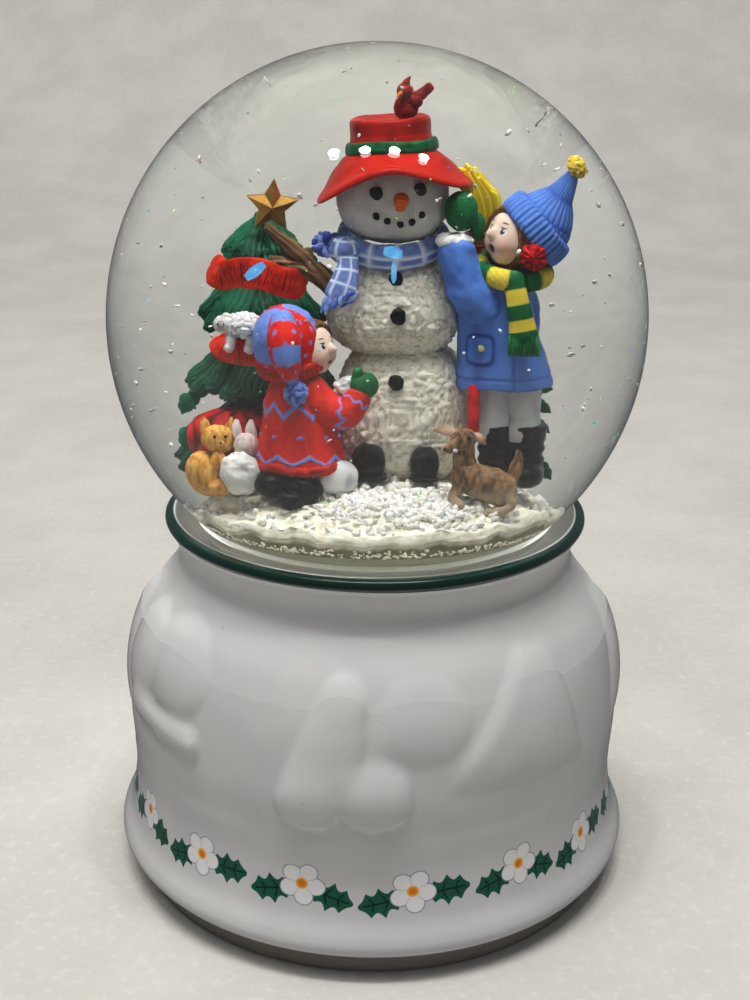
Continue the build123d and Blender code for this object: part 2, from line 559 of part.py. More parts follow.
def tree():
    """Fir with a star, two ribbon banners and the toys round its foot."""
    star = Pos(-15.1, 3.4, 125.0) * Rot(90, 0, 0) * extrude(star_face(3.9, 1.7), 1.6)
    yield "tree_star", star
    upper = ribbon(-17.4, 0.6, 7.6, 8.4, 112.4, 3.8)
    yield "ribbon_banners", [upper, ribbon(-18.2, -0.8, 6.8, 7.6, 104.0, 3.4)]
    yield "lamb", ellipsoid((-19.6, -8.6, 109.2), (3.3, 1.7, 1.9))
    yield "red_drape", ellipsoid((-20.8, -4.2, 93.4), (4.4, 3.0, 3.0))
    yield "toy_cat", Pos(-22.4, -10.4, 94.2) * Sphere(2.3) + ellipsoid((-24.0, -10.0, 89.0), (2.8, 2.4, 4.2))
    rabbit_body = ellipsoid((-19.4, -13.6, 89.4), (2.5, 2.3, 3.4))
    yield "toy_rabbit", Pos(-20.0, -13.4, 93.2) * Sphere(1.7) + rabbit_body
    upper_tiers = [(116.2, 122.6, 4.9, 2.6), (108.0, 117.0, 7.0, 3.2)]
    tiers = upper_tiers + [(98.6, 109.0, 8.4, 4.2), (86.0, 99.8, 8.9, 4.6)]
    boughs = [Pos(-16.0, 3.2, (low + high) / 2) * Cone(r0, r1, high - low) for low, high, r0, r1 in tiers]
    yield "tree", boughs[0] + boughs[1:]


def star_face(tip_r, waist_r):
    """Return a five-pointed star, upright in the XY plane."""
    points = []
    for corner in range(10):
        radius = tip_r if corner % 2 == 0 else waist_r
        angle = pi / 2 + corner * pi / 5
        points.append((radius * cos(angle), radius * sin(angle)))
    return make_face(Polyline(*points, close=True))


def ribbon(x, y, r_in, r_out, low, height):
    """Return the front half of a band, bent round the tree."""
    ring = Cylinder(r_out, height) - Cylinder(r_in, 2 * height)
    band = ring - Pos(0, r_out, 0) * Box(4 * r_out, 2 * r_out, 20)
    return Pos(x, y, low + height / 2) * band


def animals_and_leaves():
    """Fawn in front of the child's boots and the holly sprigs behind them."""
    body = ellipsoid((16.6, -15.0, 87.2), (4.6, 2.7, 3.3))
    neck = rod((14.4, -15.2, 88.0), (12.9, -15.4, 93.6), 1.9, 1.2)
    head = ellipsoid((12.2, -15.8, 94.6), (2.1, 2.0, 1.5))
    tail = rod((19.6, -14.6, 87.6), (20.6, -14.2, 92.2), 1.0, 0.6)
    yield "fawn", body + neck + head + tail
    leaves = [ellipsoid((24.2, 2.0, z), (1.9, 1.2, 1.5)) for z in (88.6, 94.2, 98.6)]
    yield "holly_sprigs", leaves


# ---------------------------------------------------------------- assembly and output
def boxes_meet(first, second):
    """Say whether two shapes' bounding boxes overlap."""
    a = first.bounding_box()
    b = second.bounding_box()
    return (a.min.X < b.max.X and b.min.X < a.max.X and a.min.Y < b.max.Y and b.min.Y < a.max.Y
            and a.min.Z < b.max.Z and b.min.Z < a.max.Z)


def seated_figures():
    """Build the glued castings so that each later one is cut to sit against the earlier ones."""
    groups = [snowman(), props(), kneeling_child(), standing_child(), animals_and_leaves(), tree()]
    placed = {}
    for group in groups:
        for name, shape in group:
            solids = shape if isinstance(shape, list) else [shape]
            neighbours = [other for others in placed.values() for other in others]
            placed[name] = [seat(solid, neighbours) for solid in solids]
    neighbours = [other for others in placed.values() for other in others]
    placed["snow_mound"] = [seat(snow_mound(), neighbours)]
    return placed


def seat(solid, neighbours):
    """Cut away what neighbours already fill and keep the main solid."""
    for other in neighbours:
        if boxes_meet(solid, other):
            solid = solid - other
    return largest(solid)


def build():
    """Return every node's name with its list of solids."""
    shells = [ceramic_base, glass_globe, rubber_stopper, sealant_ring, settled_snow, cover_plate, cover_bead]
    winding = [winding_key, winding_arbor, arbor_circlip, spring_barrel, barrel_lid, mainspring]
    music = [bedplate, movement_screws, note_cylinder, cylinder_arbor, cylinder_wheel, comb, bench_screws]
    governor = [second_wheel, governor_fan, governor_frame]
    nodes = {maker.__name__: maker() for maker in shells + winding + music + governor}
    nodes.update(seated_figures())
    return nodes


def main():
    """Write one STEP file for each node."""
    os.makedirs("parts", exist_ok=True)
    for name, shape in build().items():
        shapes = shape if isinstance(shape, list) else [shape]
        solids = [solid for item in shapes for solid in item.solids()]
        export_step(solids[0] if len(solids) == 1 else Compound(children=solids), f"parts/{name}.step")
        print(name, len(solids), "solid(s)", round(sum(solid.volume for solid in solids), 2), "mm3")


if __name__ == "__main__":
    main()
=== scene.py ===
# %% [markdown]
# # A musical snow globe
# The object is a glass ball full of water on a glazed ceramic base, with a painted resin group inside.
# The CAD part already holds every piece's size, place and motion. Here the pieces that show are made
# again as fine surfaces, in the same frame: metres, Z up, the front towards -Y.

# %% Load the frame
import math

import bpy
import numpy as np
from mathutils import Matrix, Vector


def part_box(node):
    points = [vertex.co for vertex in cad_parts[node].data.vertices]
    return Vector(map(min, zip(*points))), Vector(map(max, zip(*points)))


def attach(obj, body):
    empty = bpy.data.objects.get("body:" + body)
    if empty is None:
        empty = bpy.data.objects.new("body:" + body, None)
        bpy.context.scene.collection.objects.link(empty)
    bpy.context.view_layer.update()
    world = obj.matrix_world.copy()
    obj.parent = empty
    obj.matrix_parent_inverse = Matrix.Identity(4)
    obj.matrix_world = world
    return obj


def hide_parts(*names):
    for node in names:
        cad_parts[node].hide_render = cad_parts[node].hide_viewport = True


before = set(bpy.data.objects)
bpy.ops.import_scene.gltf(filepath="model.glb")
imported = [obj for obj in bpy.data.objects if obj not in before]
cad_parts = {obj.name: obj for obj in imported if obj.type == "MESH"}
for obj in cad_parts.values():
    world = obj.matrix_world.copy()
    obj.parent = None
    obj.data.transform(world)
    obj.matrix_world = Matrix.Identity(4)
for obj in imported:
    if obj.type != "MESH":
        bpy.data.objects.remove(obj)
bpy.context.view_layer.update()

# %% [markdown]
# ## Sizes
# All shapes below are worked out in millimetres and scaled once, when they become meshes.
# The ball's centre height and the rim's height are read from the CAD nodes' boxes,
# so these follow the part if it is ever changed.

# %% Driving sizes
MM = 0.001


def node_box(node):
    """A CAD node's lowest and highest corners in millimetres."""
    low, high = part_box(node)
    return np.array(low) / MM, np.array(high) / MM


BALL_R = 50.0
BALL_Z = node_box("glass_globe")[1][2] - BALL_R
GLASS_WALL = 2.0
NECK_R = 33.2
NECK_BORE_R = 31.2
RIM_Z = node_box("ceramic_base")[1][2]
print("ball centre height", round(float(BALL_Z), 2), "rim", round(float(RIM_Z), 2))

# %% [markdown]
# ## Natural unevenness
# Cast and hand-painted things are never quite smooth. This noise gives every point in space a
# repeatable random height: numbers at the corners of a cubic lattice, blended smoothly between them.
# It works on whole arrays of points at once, so thousands of vertices cost almost nothing.

# %% Noise on arrays of points


def lattice(i, j, k, seed):
    """Numbers from 0 to 1 for whole-number points: indices times large primes, mixed by bit shifts."""
    mixed = (i * 73856093) ^ (j * 19349663) ^ (k * 83492791) ^ (seed * 2654435761)
    mixed = (mixed ^ (mixed >> 13)) * 1274126177
    return ((mixed ^ (mixed >> 16)) & 0xFFFF) / 65535.0


def noise(points, size, seed=0):
    """Value noise from -1 to 1: lattice numbers at a point's eight corners, weighted by 3f^2 - 2f^3."""
    q = np.asarray(points, float) / size
    corner0 = np.floor(q).astype(np.int64)
    f = q - corner0
    f = f * f * (3 - 2 * f)
    total = np.zeros(q.shape[:-1])
    for corner in range(8):
        step = np.array([corner & 1, corner >> 1 & 1, corner >> 2 & 1])
        weight = np.prod(np.where(step, f, 1 - f), axis=-1)
        i, j, k = np.moveaxis(corner0 + step, -1, 0)
        total += weight * lattice(i, j, k, seed)
    return 2 * total - 1


def layered(points, size, layers=3, seed=0):
    """Sum of noises, each layer half the size and half the height of the one before."""
    return sum(noise(points, size / 2 ** n, seed + n) / 2 ** n for n in range(layers))


def rgb(red, green, blue):
    """A paint colour given as on a screen, 0 to 255, turned into the linear light that shaders use."""
    c = np.array([red, green, blue], float) / 255
    return np.where(c <= 0.04045, c / 12.92, ((c + 0.055) / 1.055) ** 2.4)


def blend(first, second, share):
    """Mix two colours, or arrays of them, by a share from 0 to 1."""
    share = np.clip(np.asarray(share, float), 0, 1)[..., None]
    return np.asarray(first) * (1 - share) + np.asarray(second) * share


def step(value, low, high):
    """0 below low, 1 above high, and a smooth rise between."""
    x = np.clip((value - low) / (high - low), 0, 1)
    return x * x * (3 - 2 * x)


def bump(value, middle, width):
    """A smooth hill of height 1: the bell curve exp(-((value - middle) / width)^2)."""
    return np.exp(-((value - middle) / width) ** 2)


print("noise sample", round(float(noise(np.array([1.2, 3.4, 5.6]), 1.0)), 3))

# %% [markdown]
# ## Skins over stacked rings
# Nearly every piece is a closed skin: a stack of rings, each with the same number of points.
# A ball, a lathe-turned bowl, a sleeve and a twig all fit that one description, so one function
# makes their faces, and the ends are closed by a fan of triangles to a single middle point.
# The alternative, joining ready-made primitives, leaves inner faces and gives no say over detail.

# %% Rings into surfaces


def rows(count, low=0.0, high=1.0):
    """Evenly spaced numbers, as a column, for the direction along a shape."""
    return np.linspace(low, high, count)[:, None]


def around(count):
    """Evenly spaced angles round a ring, as a row, without repeating the first."""
    return np.linspace(0, 2 * np.pi, count, endpoint=False)[None, :]


def normals(rings):
    """Unit vectors square to the surface: the cross product of its two grid directions, turned outwards."""
    across = np.roll(rings, -1, axis=1) - np.roll(rings, 1, axis=1)
    along = np.gradient(rings, axis=0)
    n = np.cross(across, along)
    n /= np.linalg.norm(n, axis=-1, keepdims=True) + 1e-12
    outwards = rings - rings.mean(axis=1, keepdims=True)
    return n * np.sign((n * outwards).sum() + 1e-12)


def push(rings, amount):
    """Move a surface out along its own normals by an amount for each point."""
    return rings + normals(rings) * np.broadcast_to(amount, rings.shape[:2])[..., None]


def grid(rings):
    """Where each point lies on its skin: from 0 to 1 along the rings, and its angle round them."""
    count, ring = rings.shape[:2]
    return rows(count) + 0 * around(ring), around(ring) + 0 * rows(count)


def dent(rings, height, size, layers, seed):
    """Push layered noise out of a surface, so that it is uneven by about 'height'."""
    return push(rings, height * layered(rings, size, layers, seed))


def outward(points, quads, tris, colour):
    """Faces turned to point outwards: six times the volume is the sum of a . (b x c) over all triangles."""
    fans = np.concatenate([quads[:, :3], quads[:, [0, 2, 3]], tris])
    a, b, c = (points[fans[:, n]] for n in range(3))
    if np.einsum("ij,ij->", a, np.cross(b, c)) < 0:
        quads, tris = quads[:, ::-1], tris[:, ::-1]
    return {"points": points, "quads": quads, "tris": tris, "colour": colour}


def numbered(rings):
    """The number of every point on its grid, and that of its neighbour round the ring."""
    number = np.arange(rings.shape[0] * rings.shape[1]).reshape(rings.shape[:2])
    return number, np.roll(number, -1, axis=1)


def loop(rings, tint):
    """Faces over rings whose last joins their first, as on a hollow turned ring."""
    here, beside = numbered(rings)
    quads = np.stack([here, beside, np.roll(beside, -1, axis=0), np.roll(here, -1, axis=0)], -1)
    colour = np.broadcast_to(tint, rings.shape).reshape(-1, 3)
    return outward(rings.reshape(-1, 3), quads.reshape(-1, 4), np.zeros((0, 3), int), colour)


def skin(rings, tint):
    """Faces over a stack of rings, closed at both ends by a fan, with a colour for every point."""
    here, beside = numbered(rings)
    quads = np.stack([here[:-1], beside[:-1], beside[1:], here[1:]], -1).reshape(-1, 4)
    low_fan = np.stack([beside[0], here[0], np.full(rings.shape[1], here.size)], -1)
    high_fan = np.stack([here[-1], beside[-1], np.full(rings.shape[1], here.size + 1)], -1)
    points, colour = (np.concatenate([v.reshape(-1, 3), v[:1].mean(1), v[-1:].mean(1)])
                      for v in (rings, np.broadcast_to(tint, rings.shape)))
    return outward(points, quads, np.concatenate([low_fan, high_fan]), colour)


def together(parts):
    """Several skins as one, with the later ones' point numbers moved up."""
    parts = [p for part in parts for p in (part if isinstance(part, list) else [part])]
    starts = np.cumsum([0] + [len(p["points"]) for p in parts[:-1]])
    whole = {key: np.concatenate([p[key] for p in parts]) for key in ("points", "colour")}
    for key in ("quads", "tris"):
        whole[key] = np.concatenate([p[key] + s for p, s in zip(parts, starts)])
    return whole


def piece(name, parts, finish, node, smooth=True):
    """Make one named object from skins, in metres, riding on the globe and standing for a CAD node."""
    made = together(parts if isinstance(parts, list) else [parts])
    mesh = bpy.data.meshes.new(name)
    corners = np.concatenate([made["quads"].ravel(), made["tris"].ravel()])
    sides = np.repeat([4, 3], [len(made["quads"]), len(made["tris"])])
    faces = len(sides)
    starts = np.cumsum(sides) - sides
    mesh.vertices.add(len(made["points"]))
    mesh.vertices.foreach_set("co", (made["points"] * MM).astype(np.float32).ravel())
    mesh.loops.add(len(corners))
    mesh.loops.foreach_set("vertex_index", corners.astype(np.int32))
    mesh.polygons.add(faces)
    mesh.polygons.foreach_set("loop_start", starts.astype(np.int32))
    mesh.polygons.foreach_set("use_smooth", np.full(faces, smooth))
    mesh.update(calc_edges=True)
    mesh.validate()
    paint = mesh.color_attributes.new("paint", "FLOAT_COLOR", "POINT")
    rgba = np.ones((len(made["points"]), 4), np.float32)
    rgba[:, :3] = made["colour"]
    paint.data.foreach_set("color", rgba.ravel())
    mesh.materials.append(finish)
    made_object = bpy.data.objects.new(name, mesh)
    bpy.context.scene.collection.objects.link(made_object)
    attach(made_object, "globe")
    if node:
        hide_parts(node)
    print(f"{name}: {len(made['points'])} points, {faces} faces")


# %% [markdown]
# ## Four shapes that repeat
# A ball, a tube along a path, a turned profile, and a turn in space: the whole group is built
# from these. Each returns rings, so dents, folds and fur can be pushed into them before skinning.

# %% Ball, tube, turned profile


def ball(centre, radii, count=40, ring=56, square=1.0):
    """Squashed sphere: radius sin(t) at height -cos(t), to the power 'square', times the half-axes."""
    t = rows(count, 0.04, 0.96) * np.pi
    a = around(ring)

    def power(value):
        return np.sign(value) * np.abs(value) ** square

    unit = np.stack([power(np.sin(t)) * power(np.cos(a)), power(np.sin(t)) * power(np.sin(a)),
                     -power(np.cos(t)) + 0 * a], -1)
    return np.asarray(centre, float) + unit * np.asarray(radii, float)


def curve(points, count):
    """Smooth path through given points: on each span, the cubic that matches its neighbours."""
    p = np.asarray(points, float)
    p = np.concatenate([2 * p[:1] - p[1:2], p, 2 * p[-1:] - p[-2:-1]])
    at = np.linspace(0, len(p) - 3 - 1e-9, count)
    n = at.astype(int)
    f = (at - n)[:, None]
    p0, p1, p2, p3 = p[n], p[n + 1], p[n + 2], p[n + 3]
    return 0.5 * (2 * p1 + (p2 - p0) * f + (2 * p0 - 5 * p1 + 4 * p2 - p3) * f ** 2
                  + (3 * p1 - p0 - 3 * p2 + p3) * f ** 3)


def spaced(values, count):
    """Values given at even steps along a path, filled in smoothly for every ring."""
    values = np.atleast_1d(np.asarray(values, float))
    if len(values) == 1:
        values = np.repeat(values, 2)
    return curve(values[:, None], count)[:, 0]


def tube(path, radius, ring=24, flat=1.0, up=(0, 0, 1)):
    """Rings along a path: radius * (cos a * side + flat * sin a * other), where side is square to the
    path and to 'up', and other is square to both. The ends are rounded by four shrinking rings each."""
    path = np.asarray(path, float)
    radius = np.broadcast_to(radius, len(path))
    forward = np.gradient(path, axis=0)
    forward /= np.linalg.norm(forward, axis=1, keepdims=True)
    side = np.cross(forward, up)
    side /= np.linalg.norm(side, axis=1, keepdims=True)
    other = np.cross(side, forward)
    turn = np.linspace(0.15, 1, 5)[:-1] * np.pi / 2
    head = path[:1] - forward[:1] * (radius[0] * 0.6 * np.cos(turn))[:, None]
    tail = path[-1:] + forward[-1:] * (radius[-1] * 0.6 * np.cos(turn[::-1]))[:, None]
    path = np.concatenate([head, path, tail])
    radius = np.concatenate([radius[0] * np.sin(turn), radius, radius[-1] * np.sin(turn)[::-1]])
    side, other = (np.concatenate([np.repeat(v[:1], 4, 0), v, np.repeat(v[-1:], 4, 0)]) for v in (side,
                                                                                                  other))
    a = around(ring)[..., None]
    section = np.cos(a) * side[:, None] + flat * np.sin(a) * other[:, None]
    return path[:, None] + radius[:, None, None] * section


def stem(points, radii, count, ring=24, flat=1.0, up=(0, 0, 1)):
    """A tube through given points, with its radius filled in between given values."""
    return tube(curve(points, count), spaced(radii, count), ring, flat, up)


def turn_section(section, ring):
    """Carry (radius, height) points round the upright axis."""
    a = around(ring)
    r, z = section[:, :1], section[:, 1:]
    return np.stack([r * np.cos(a), r * np.sin(a), z + 0 * a], -1)


def turned(profile, count, ring):
    """Lathe work: a smooth (radius, height) profile carried round the upright axis."""
    return turn_section(curve([(r, 0, z) for r, z in profile], count)[:, [0, 2]], ring)


def spin(points, axis, degrees, centre):
    """Turn points about an axis through a centre: p cos t + (k x p) sin t + k (k . p)(1 - cos t)."""
    k = np.asarray(axis, float) / np.linalg.norm(axis)
    t = math.radians(degrees)
    p = np.asarray(points, float) - centre
    turned_points = p * math.cos(t) + np.cross(k, p) * math.sin(t) + (p @ k)[...,
                                                                             None] * k * (1 - math.cos(t))
    return turned_points + centre


def angle_of(points, centre):
    """Angle round an upright axis through a centre, in radians."""
    return np.arctan2(points[..., 1] - centre[1], points[..., 0] - centre[0])


print("curve check", curve([(0, 0, 0), (1, 0, 0), (2, 1, 0)], 3)[1].round(3))

# %% [markdown]
# ## Writing shaders as sums
# A shader's masks are arithmetic: distances, folds and thresholds. Dragging dozens of Math nodes is
# slow to read, so this class wraps a socket and lets Python's own signs add the nodes. A finish is
# then a few lines of formula that a learner can follow and change.

# %% Sockets that do arithmetic


class Flow:
    """A number on its way between shader nodes; + - * / and comparisons add Math nodes."""

    def __init__(self, book, socket):
        self.book, self.socket = book, socket

    def math(self, operation, *others):
        """Add one Math node on this value and up to two others."""
        return self.book.node("ShaderNodeMath", {"operation": operation}, [self, *others])

    def soft(self, low, high):
        """0 below low and 1 above high, with a smooth rise between."""
        return self.book.node("ShaderNodeMapRange", {"interpolation_type": "SMOOTHSTEP"},
                              {"Value": self, "From Min": low, "From Max": high})


def sign(operation, turned_round=False):
    """A method that adds one Math node; turned round, the wrapped value comes second, as in 1 - mask."""
    def method(self, other):
        pair = [other, self] if turned_round else [self, other]
        return self.book.node("ShaderNodeMath", {"operation": operation}, pair)
    return method


SIGNS = {"add": "ADD", "sub": "SUBTRACT", "mul": "MULTIPLY", "truediv": "DIVIDE", "pow": "POWER",
         "lt": "LESS_THAN", "gt": "GREATER_THAN"}
for short, operation in SIGNS.items():
    setattr(Flow, f"__{short}__", sign(operation))
Flow.__radd__, Flow.__rmul__ = Flow.__add__, Flow.__mul__
Flow.__rsub__ = sign("SUBTRACT", True)


class Book:
    """One material: its node tree, its Principled shader, and one method that adds any node."""

    def __init__(self, name):
        self.material = bpy.data.materials.new(name)
        self.material.use_nodes = True
        self.tree = self.material.node_tree
        self.shader = self.tree.nodes["Principled BSDF"]
        self.output = self.tree.nodes["Material Output"]

    def link(self, source, target):
        """Join a wrapped or bare socket, or a plain value, to an input."""
        if isinstance(source, Flow):
            source = source.socket
        if isinstance(source, bpy.types.NodeSocket):
            self.tree.links.new(source, target)
        else:
            target.default_value = source

    def node(self, kind, settings=None, values=None, out=0):
        """Add a node, set its own settings first, then its sockets, and wrap one output."""
        node = self.tree.nodes.new(kind)
        for key, value in (settings or {}).items():
            setattr(node, key, value)
        pairs = values.items() if isinstance(values, dict) else enumerate(values or [])
        for key, value in pairs:
            self.link(value, node.inputs[key])
        return Flow(self, node.outputs[out])

    def mix(self, share, first, second, way="MIX"):
        """Mix two colours by a share."""
        node = self.tree.nodes.new("ShaderNodeMix")
        node.data_type, node.blend_type = "RGBA", way
        self.link(share, node.inputs[0])
        self.link(first, node.inputs[6])
        self.link(second, node.inputs[7])
        return Flow(self, node.outputs[2])

    def place(self):
        """The point's place in the part's frame, in metres."""
        return self.node("ShaderNodeTexCoord", out=3)

    def grain(self, scale, detail=3.0, rough=0.6, where=None):
        """Noise from 0 to 1 on the object's own coordinates; scale is per metre."""
        return self.node("ShaderNodeTexNoise", None, {"Vector": where or self.place(), "Scale": scale,
                                                      "Detail": detail, "Roughness": rough})

    def bump(self, height, distance):
        """Feed a height, worth 'distance' metres from 0 to 1, to the shader's normal."""
        self.set(Normal=self.node("ShaderNodeBump", None, {"Height": height, "Distance": distance}))

    def set(self, **values):
        """Set or link the shader's own sockets; underscores stand for spaces."""
        for key, value in values.items():
            self.link(value, self.shader.inputs[key.replace("_", " ")])
        return self.material

    def lamp_rays_pass(self, bend, tint):
        """Send the output a shader that turns plain transparent for shadow rays."""
        straight_on = self.node("ShaderNodeBsdfTransparent", None, {"Color": tint})
        lamp_ray = self.node("ShaderNodeLightPath", out=1)
        mixed = self.node("ShaderNodeMixShader", None, [lamp_ray, bend, straight_on])
        self.link(mixed, self.output.inputs["Surface"])
        return self.material


def col(colour):
    """A linear colour with full alpha, as a socket wants it."""
    return (*[float(v) for v in colour], 1.0)


# %% [markdown]
# ## Hand-painted resin
# The figures are cast in resin and painted with a brush. The colour itself is laid on each point of
# the mesh, where the shape functions know what is a stripe and what is a cheek. The shader then adds
# what paint does: faint brush streaks, slightly patchy shine, and a fine tooth from the casting. The
# shine is kept low, because water lies against the paint: with so small a step in refractive index
# almost nothing is mirrored, which is why the colours in a filled ball look deep and wet.

# %% Paint finishes
WET_SPECULAR = 0.14
GLASS_IOR = 1.5
WATER_IOR = 1.333


def painted(name, roughness=0.42, streak=0.10, tooth=0.00004, tooth_size=4200, coat=0.0):
    """Paint that reads its colour from the mesh: colour times streaky noise, patchy roughness, fine bump."""
    book = Book(name)
    laid = book.node("ShaderNodeAttribute", {"attribute_name": "paint"})
    stretch = book.node("ShaderNodeMapping", None, {"Vector": book.place(), "Scale": (1.0, 1.0, 0.35)})
    streaks = book.grain(1500, 3, where=stretch)
    patches = book.grain(240, 2)
    light = 1.0 - streak + streaks * (2 * streak)
    tone = book.node("ShaderNodeCombineColor", None, [light, light, light])
    book.bump(book.grain(tooth_size, 2) + streaks * 0.6, tooth)
    return book.set(Base_Color=book.mix(1.0, laid, tone, "MULTIPLY"),
                    Roughness=roughness - 0.08 + patches * 0.16,
                    Coat_Weight=coat, Coat_Roughness=0.15, Specular_IOR_Level=WET_SPECULAR)


HAND_PAINT = painted("hand_paint")
GLOSS_PAINT = painted("gloss_paint", roughness=0.22, streak=0.05, tooth=0.00001, coat=0.06)
WOOL_PAINT = painted("knitted_paint", roughness=0.62, streak=0.14, tooth=0.00009, tooth_size=2600)
LEAF_PAINT = painted("fir_paint", roughness=0.48, streak=0.2, tooth=0.00008, tooth_size=3000)
SNOW_PAINT = painted("snow_paint", roughness=0.7, streak=0.07, tooth=0.00012, tooth_size=2300)
FACE_PAINT = painted("face_paint", roughness=0.36, streak=0.03, tooth=0.00001)
print("paints", len(bpy.data.materials))


def gold_paint():
    """Metallic gold paint: metal with a warm colour, darker and rougher in a broad noise."""
    book = Book("gold_paint")
    worn = book.grain(700, 4)
    colour = book.mix(worn, col(rgb(132, 92, 36)), col(rgb(206, 158, 82)))
    book.bump(book.grain(3000, 2), 0.00003)
    return book.set(Base_Color=colour, Metallic=0.85, Roughness=0.3 + worn * 0.2)


GOLD = gold_paint()

# %% [markdown]
# ## Glazed ceramic with printed flowers
# The base is slip-cast, dipped in a warm-white glaze, and decorated with a transfer print: a ring of
# sixteen motifs, each a five-petalled flower between two holly leaves. The print is flat, so it
# belongs in the shader. The angle round the axis is folded into sixteen cells, which leaves one small
# drawing in flat coordinates: u along the ring and v up the wall, both in millimetres. A transfer is
# laid by hand, so the cells are not quite even, and every second motif hangs a little differently.

# %% Glaze, rim line and transfer print
MOTIFS = 16
PRINT_Z = 17.9
PRINT_R = 49.0


def holly_leaf(u, v, middle, way, droop):
    """One leaf: half-width (1 - s^2)^0.7 (1 - 0.42 |sin(1.7 pi s)|), so points stand between hollows."""
    du, dv = (u - middle[0]) * way, v - middle[1]
    along = (du - dv * droop) / 4.0
    across = ((dv + du * droop) / 3.0).math("ABSOLUTE")
    hollow = (along * (1.7 * math.pi) + 0.3).math("SINE").math("ABSOLUTE")
    oval = (1.0 - along * along).math("MAXIMUM", 0.0) ** 0.7
    edge = oval * (1.0 - hollow * 0.42)
    blade = (1.0 - (across - edge).soft(-0.03, 0.02)) * (along.math("ABSOLUTE") < 0.99)
    rib = 1.0 - across.soft(0.035, 0.085)
    barb = (along * 1.7 + 0.5 - across * 0.55).math("PINGPONG", 0.5)
    barbs = (1.0 - barb.soft(0.05, 0.1)) * (across < edge * 0.62)
    veins = rib.math("MAXIMUM", barbs) * (along.math("ABSOLUTE") < 0.78)
    return blade, veins


def flower(u, v):
    """Five round petals on a folded angle: the petals, their outline, and the centre's two parts."""
    u, v = u / 1.17, v / 1.17
    reach = (u * u + v * v).math("SQRT")
    fold = (v.math("ARCTAN2", u) * 2.5 + 0.4).math("COSINE").math("ABSOLUTE")
    side = fold.math("ARCCOSINE") / 2.5
    out, off = reach * side.math("COSINE") - 1.95, reach * side.math("SINE")
    petal = (out * out * 0.86 + off * off).math("SQRT")
    inside = (1.0 - petal.soft(1.37, 1.43)).math("MAXIMUM", reach < 1.5)
    line = 1.0 - (petal - 1.4).math("ABSOLUTE").soft(0.06, 0.13)
    spoke = (1.0 - fold.soft(0.03, 0.08)) * (reach < 2.3)
    heart = 1.0 - reach.soft(0.84, 0.94)
    pip = 1.0 - reach.soft(0.42, 0.74)
    return inside, (line * (reach > 2.2)).math("MAXIMUM", spoke), heart, pip


def glaze():
    """White glaze, a dark green line on the rim's edge, the printed ring, painted shade on the lip's inner
    slope, and a bare foot underneath.
    """
    book = Book("glazed_ceramic")
    x, y, z = (book.node("ShaderNodeSeparateXYZ", None, [book.place()], out=n) * 1000.0 for n in range(3))
    angle = x.math("ARCTAN2", 0.0 - y)
    angle = angle - (angle * 2.0 + 0.28).math("SINE") * 0.040
    turn = angle / (2 * math.pi / MOTIFS) + 100.144
    cell = turn.math("FLOOR")
    odd = cell.math("PINGPONG", 1.0)
    u = (turn - cell - 0.5) * (2 * math.pi * PRINT_R / MOTIFS) + 0.45 - odd * 0.85
    jitter = (cell * 2.39).math("SINE")
    v = z - PRINT_Z - odd * 0.9 + 0.5 - jitter * 0.2
    left, left_vein = holly_leaf(u, v, (-5.3, -2.0), -1.0, 0.25)
    right_u, right_v = u - 6.2 + odd * 1.2, v + 0.4 + odd * 1.6
    right, right_vein = holly_leaf(right_u, right_v, (0.0, 0.0), 1.0, odd * 0.36 - 0.05)
    inside, line, heart, pip = flower(u, v)
    white = col(rgb(205, 204, 204))
    spots = book.grain(60, 2).soft(0.35, 0.75)
    colour = book.mix(spots, white, col(rgb(197, 198, 200)))
    grit = book.node("ShaderNodeTexVoronoi", None, {"Vector": book.place(), "Scale": 190.0})
    colour = book.mix((1.0 - grit.soft(0.03, 0.055)) * 0.35, colour, col(rgb(120, 118, 112)))
    leaf_green = book.mix(book.grain(900, 2), col(rgb(6, 74, 56)), col(rgb(12, 94, 70)))
    leaves = left.math("MAXIMUM", right)
    veins = left_vein.math("MAXIMUM", right_vein) * leaves * 0.9
    colour = book.mix(leaves, colour, leaf_green)
    printed = ((veins, rgb(5, 24, 22)), (inside, rgb(232, 232, 233)), (line * 0.7, rgb(104, 116, 146)),
               (heart, rgb(240, 176, 40)), (pip, rgb(226, 118, 14)))
    for share, ink in printed:
        colour = book.mix(share, colour, col(ink))
    reach = (x * x + y * y).math("SQRT")
    wobble = (x.math("ARCTAN2", y) * 5.0).math("SINE") * 0.12
    # Painted shade: the lip's inner slope is drawn dark grey as if the ball shadowed it, since the glass lets
    # shadow rays through.
    painted_lip_shade = (z > 70.0) * (1.0 - reach.soft(38.6, 39.3))
    colour = book.mix(painted_lip_shade, colour, col(rgb(92, 90, 86)))
    band = (z + wobble).soft(70.75, 70.95) * (reach + wobble).soft(38.95, 39.2)
    colour = book.mix(band, colour, col(rgb(5, 38, 31)))
    bare = (1.0 - z.soft(4.3, 4.55)) * (reach < 48.6)
    colour = book.mix(bare, colour, col(rgb(120, 114, 106)))
    dull = bare.math("MAXIMUM", (z < 70.0) * (reach < 46.2))
    book.bump(book.grain(75, 2), 0.00010)
    return book.set(Base_Color=colour, Roughness=0.16 + dull * 0.5 + book.grain(120, 2) * 0.05,
                    Coat_Weight=0.5 - dull * 0.5, Coat_Roughness=0.04, Coat_IOR=1.5, Specular_IOR_Level=0.5)


GLAZE = glaze()
print("glaze nodes", len(GLAZE.node_tree.nodes))

# %% [markdown]
# ## Glass and water
# The lens effect of the real ball comes from the water, not from the thin glass, so both are solid
# bodies with their real bending power. The water reaches a little way into the glass, because a gap
# would act as air and mirror the edges. Lamps shine through by the Light Path switch: without it the
# group would stand in shadow, since a path tracer finds no straight way from a lamp through a lens.

# %% Clear materials


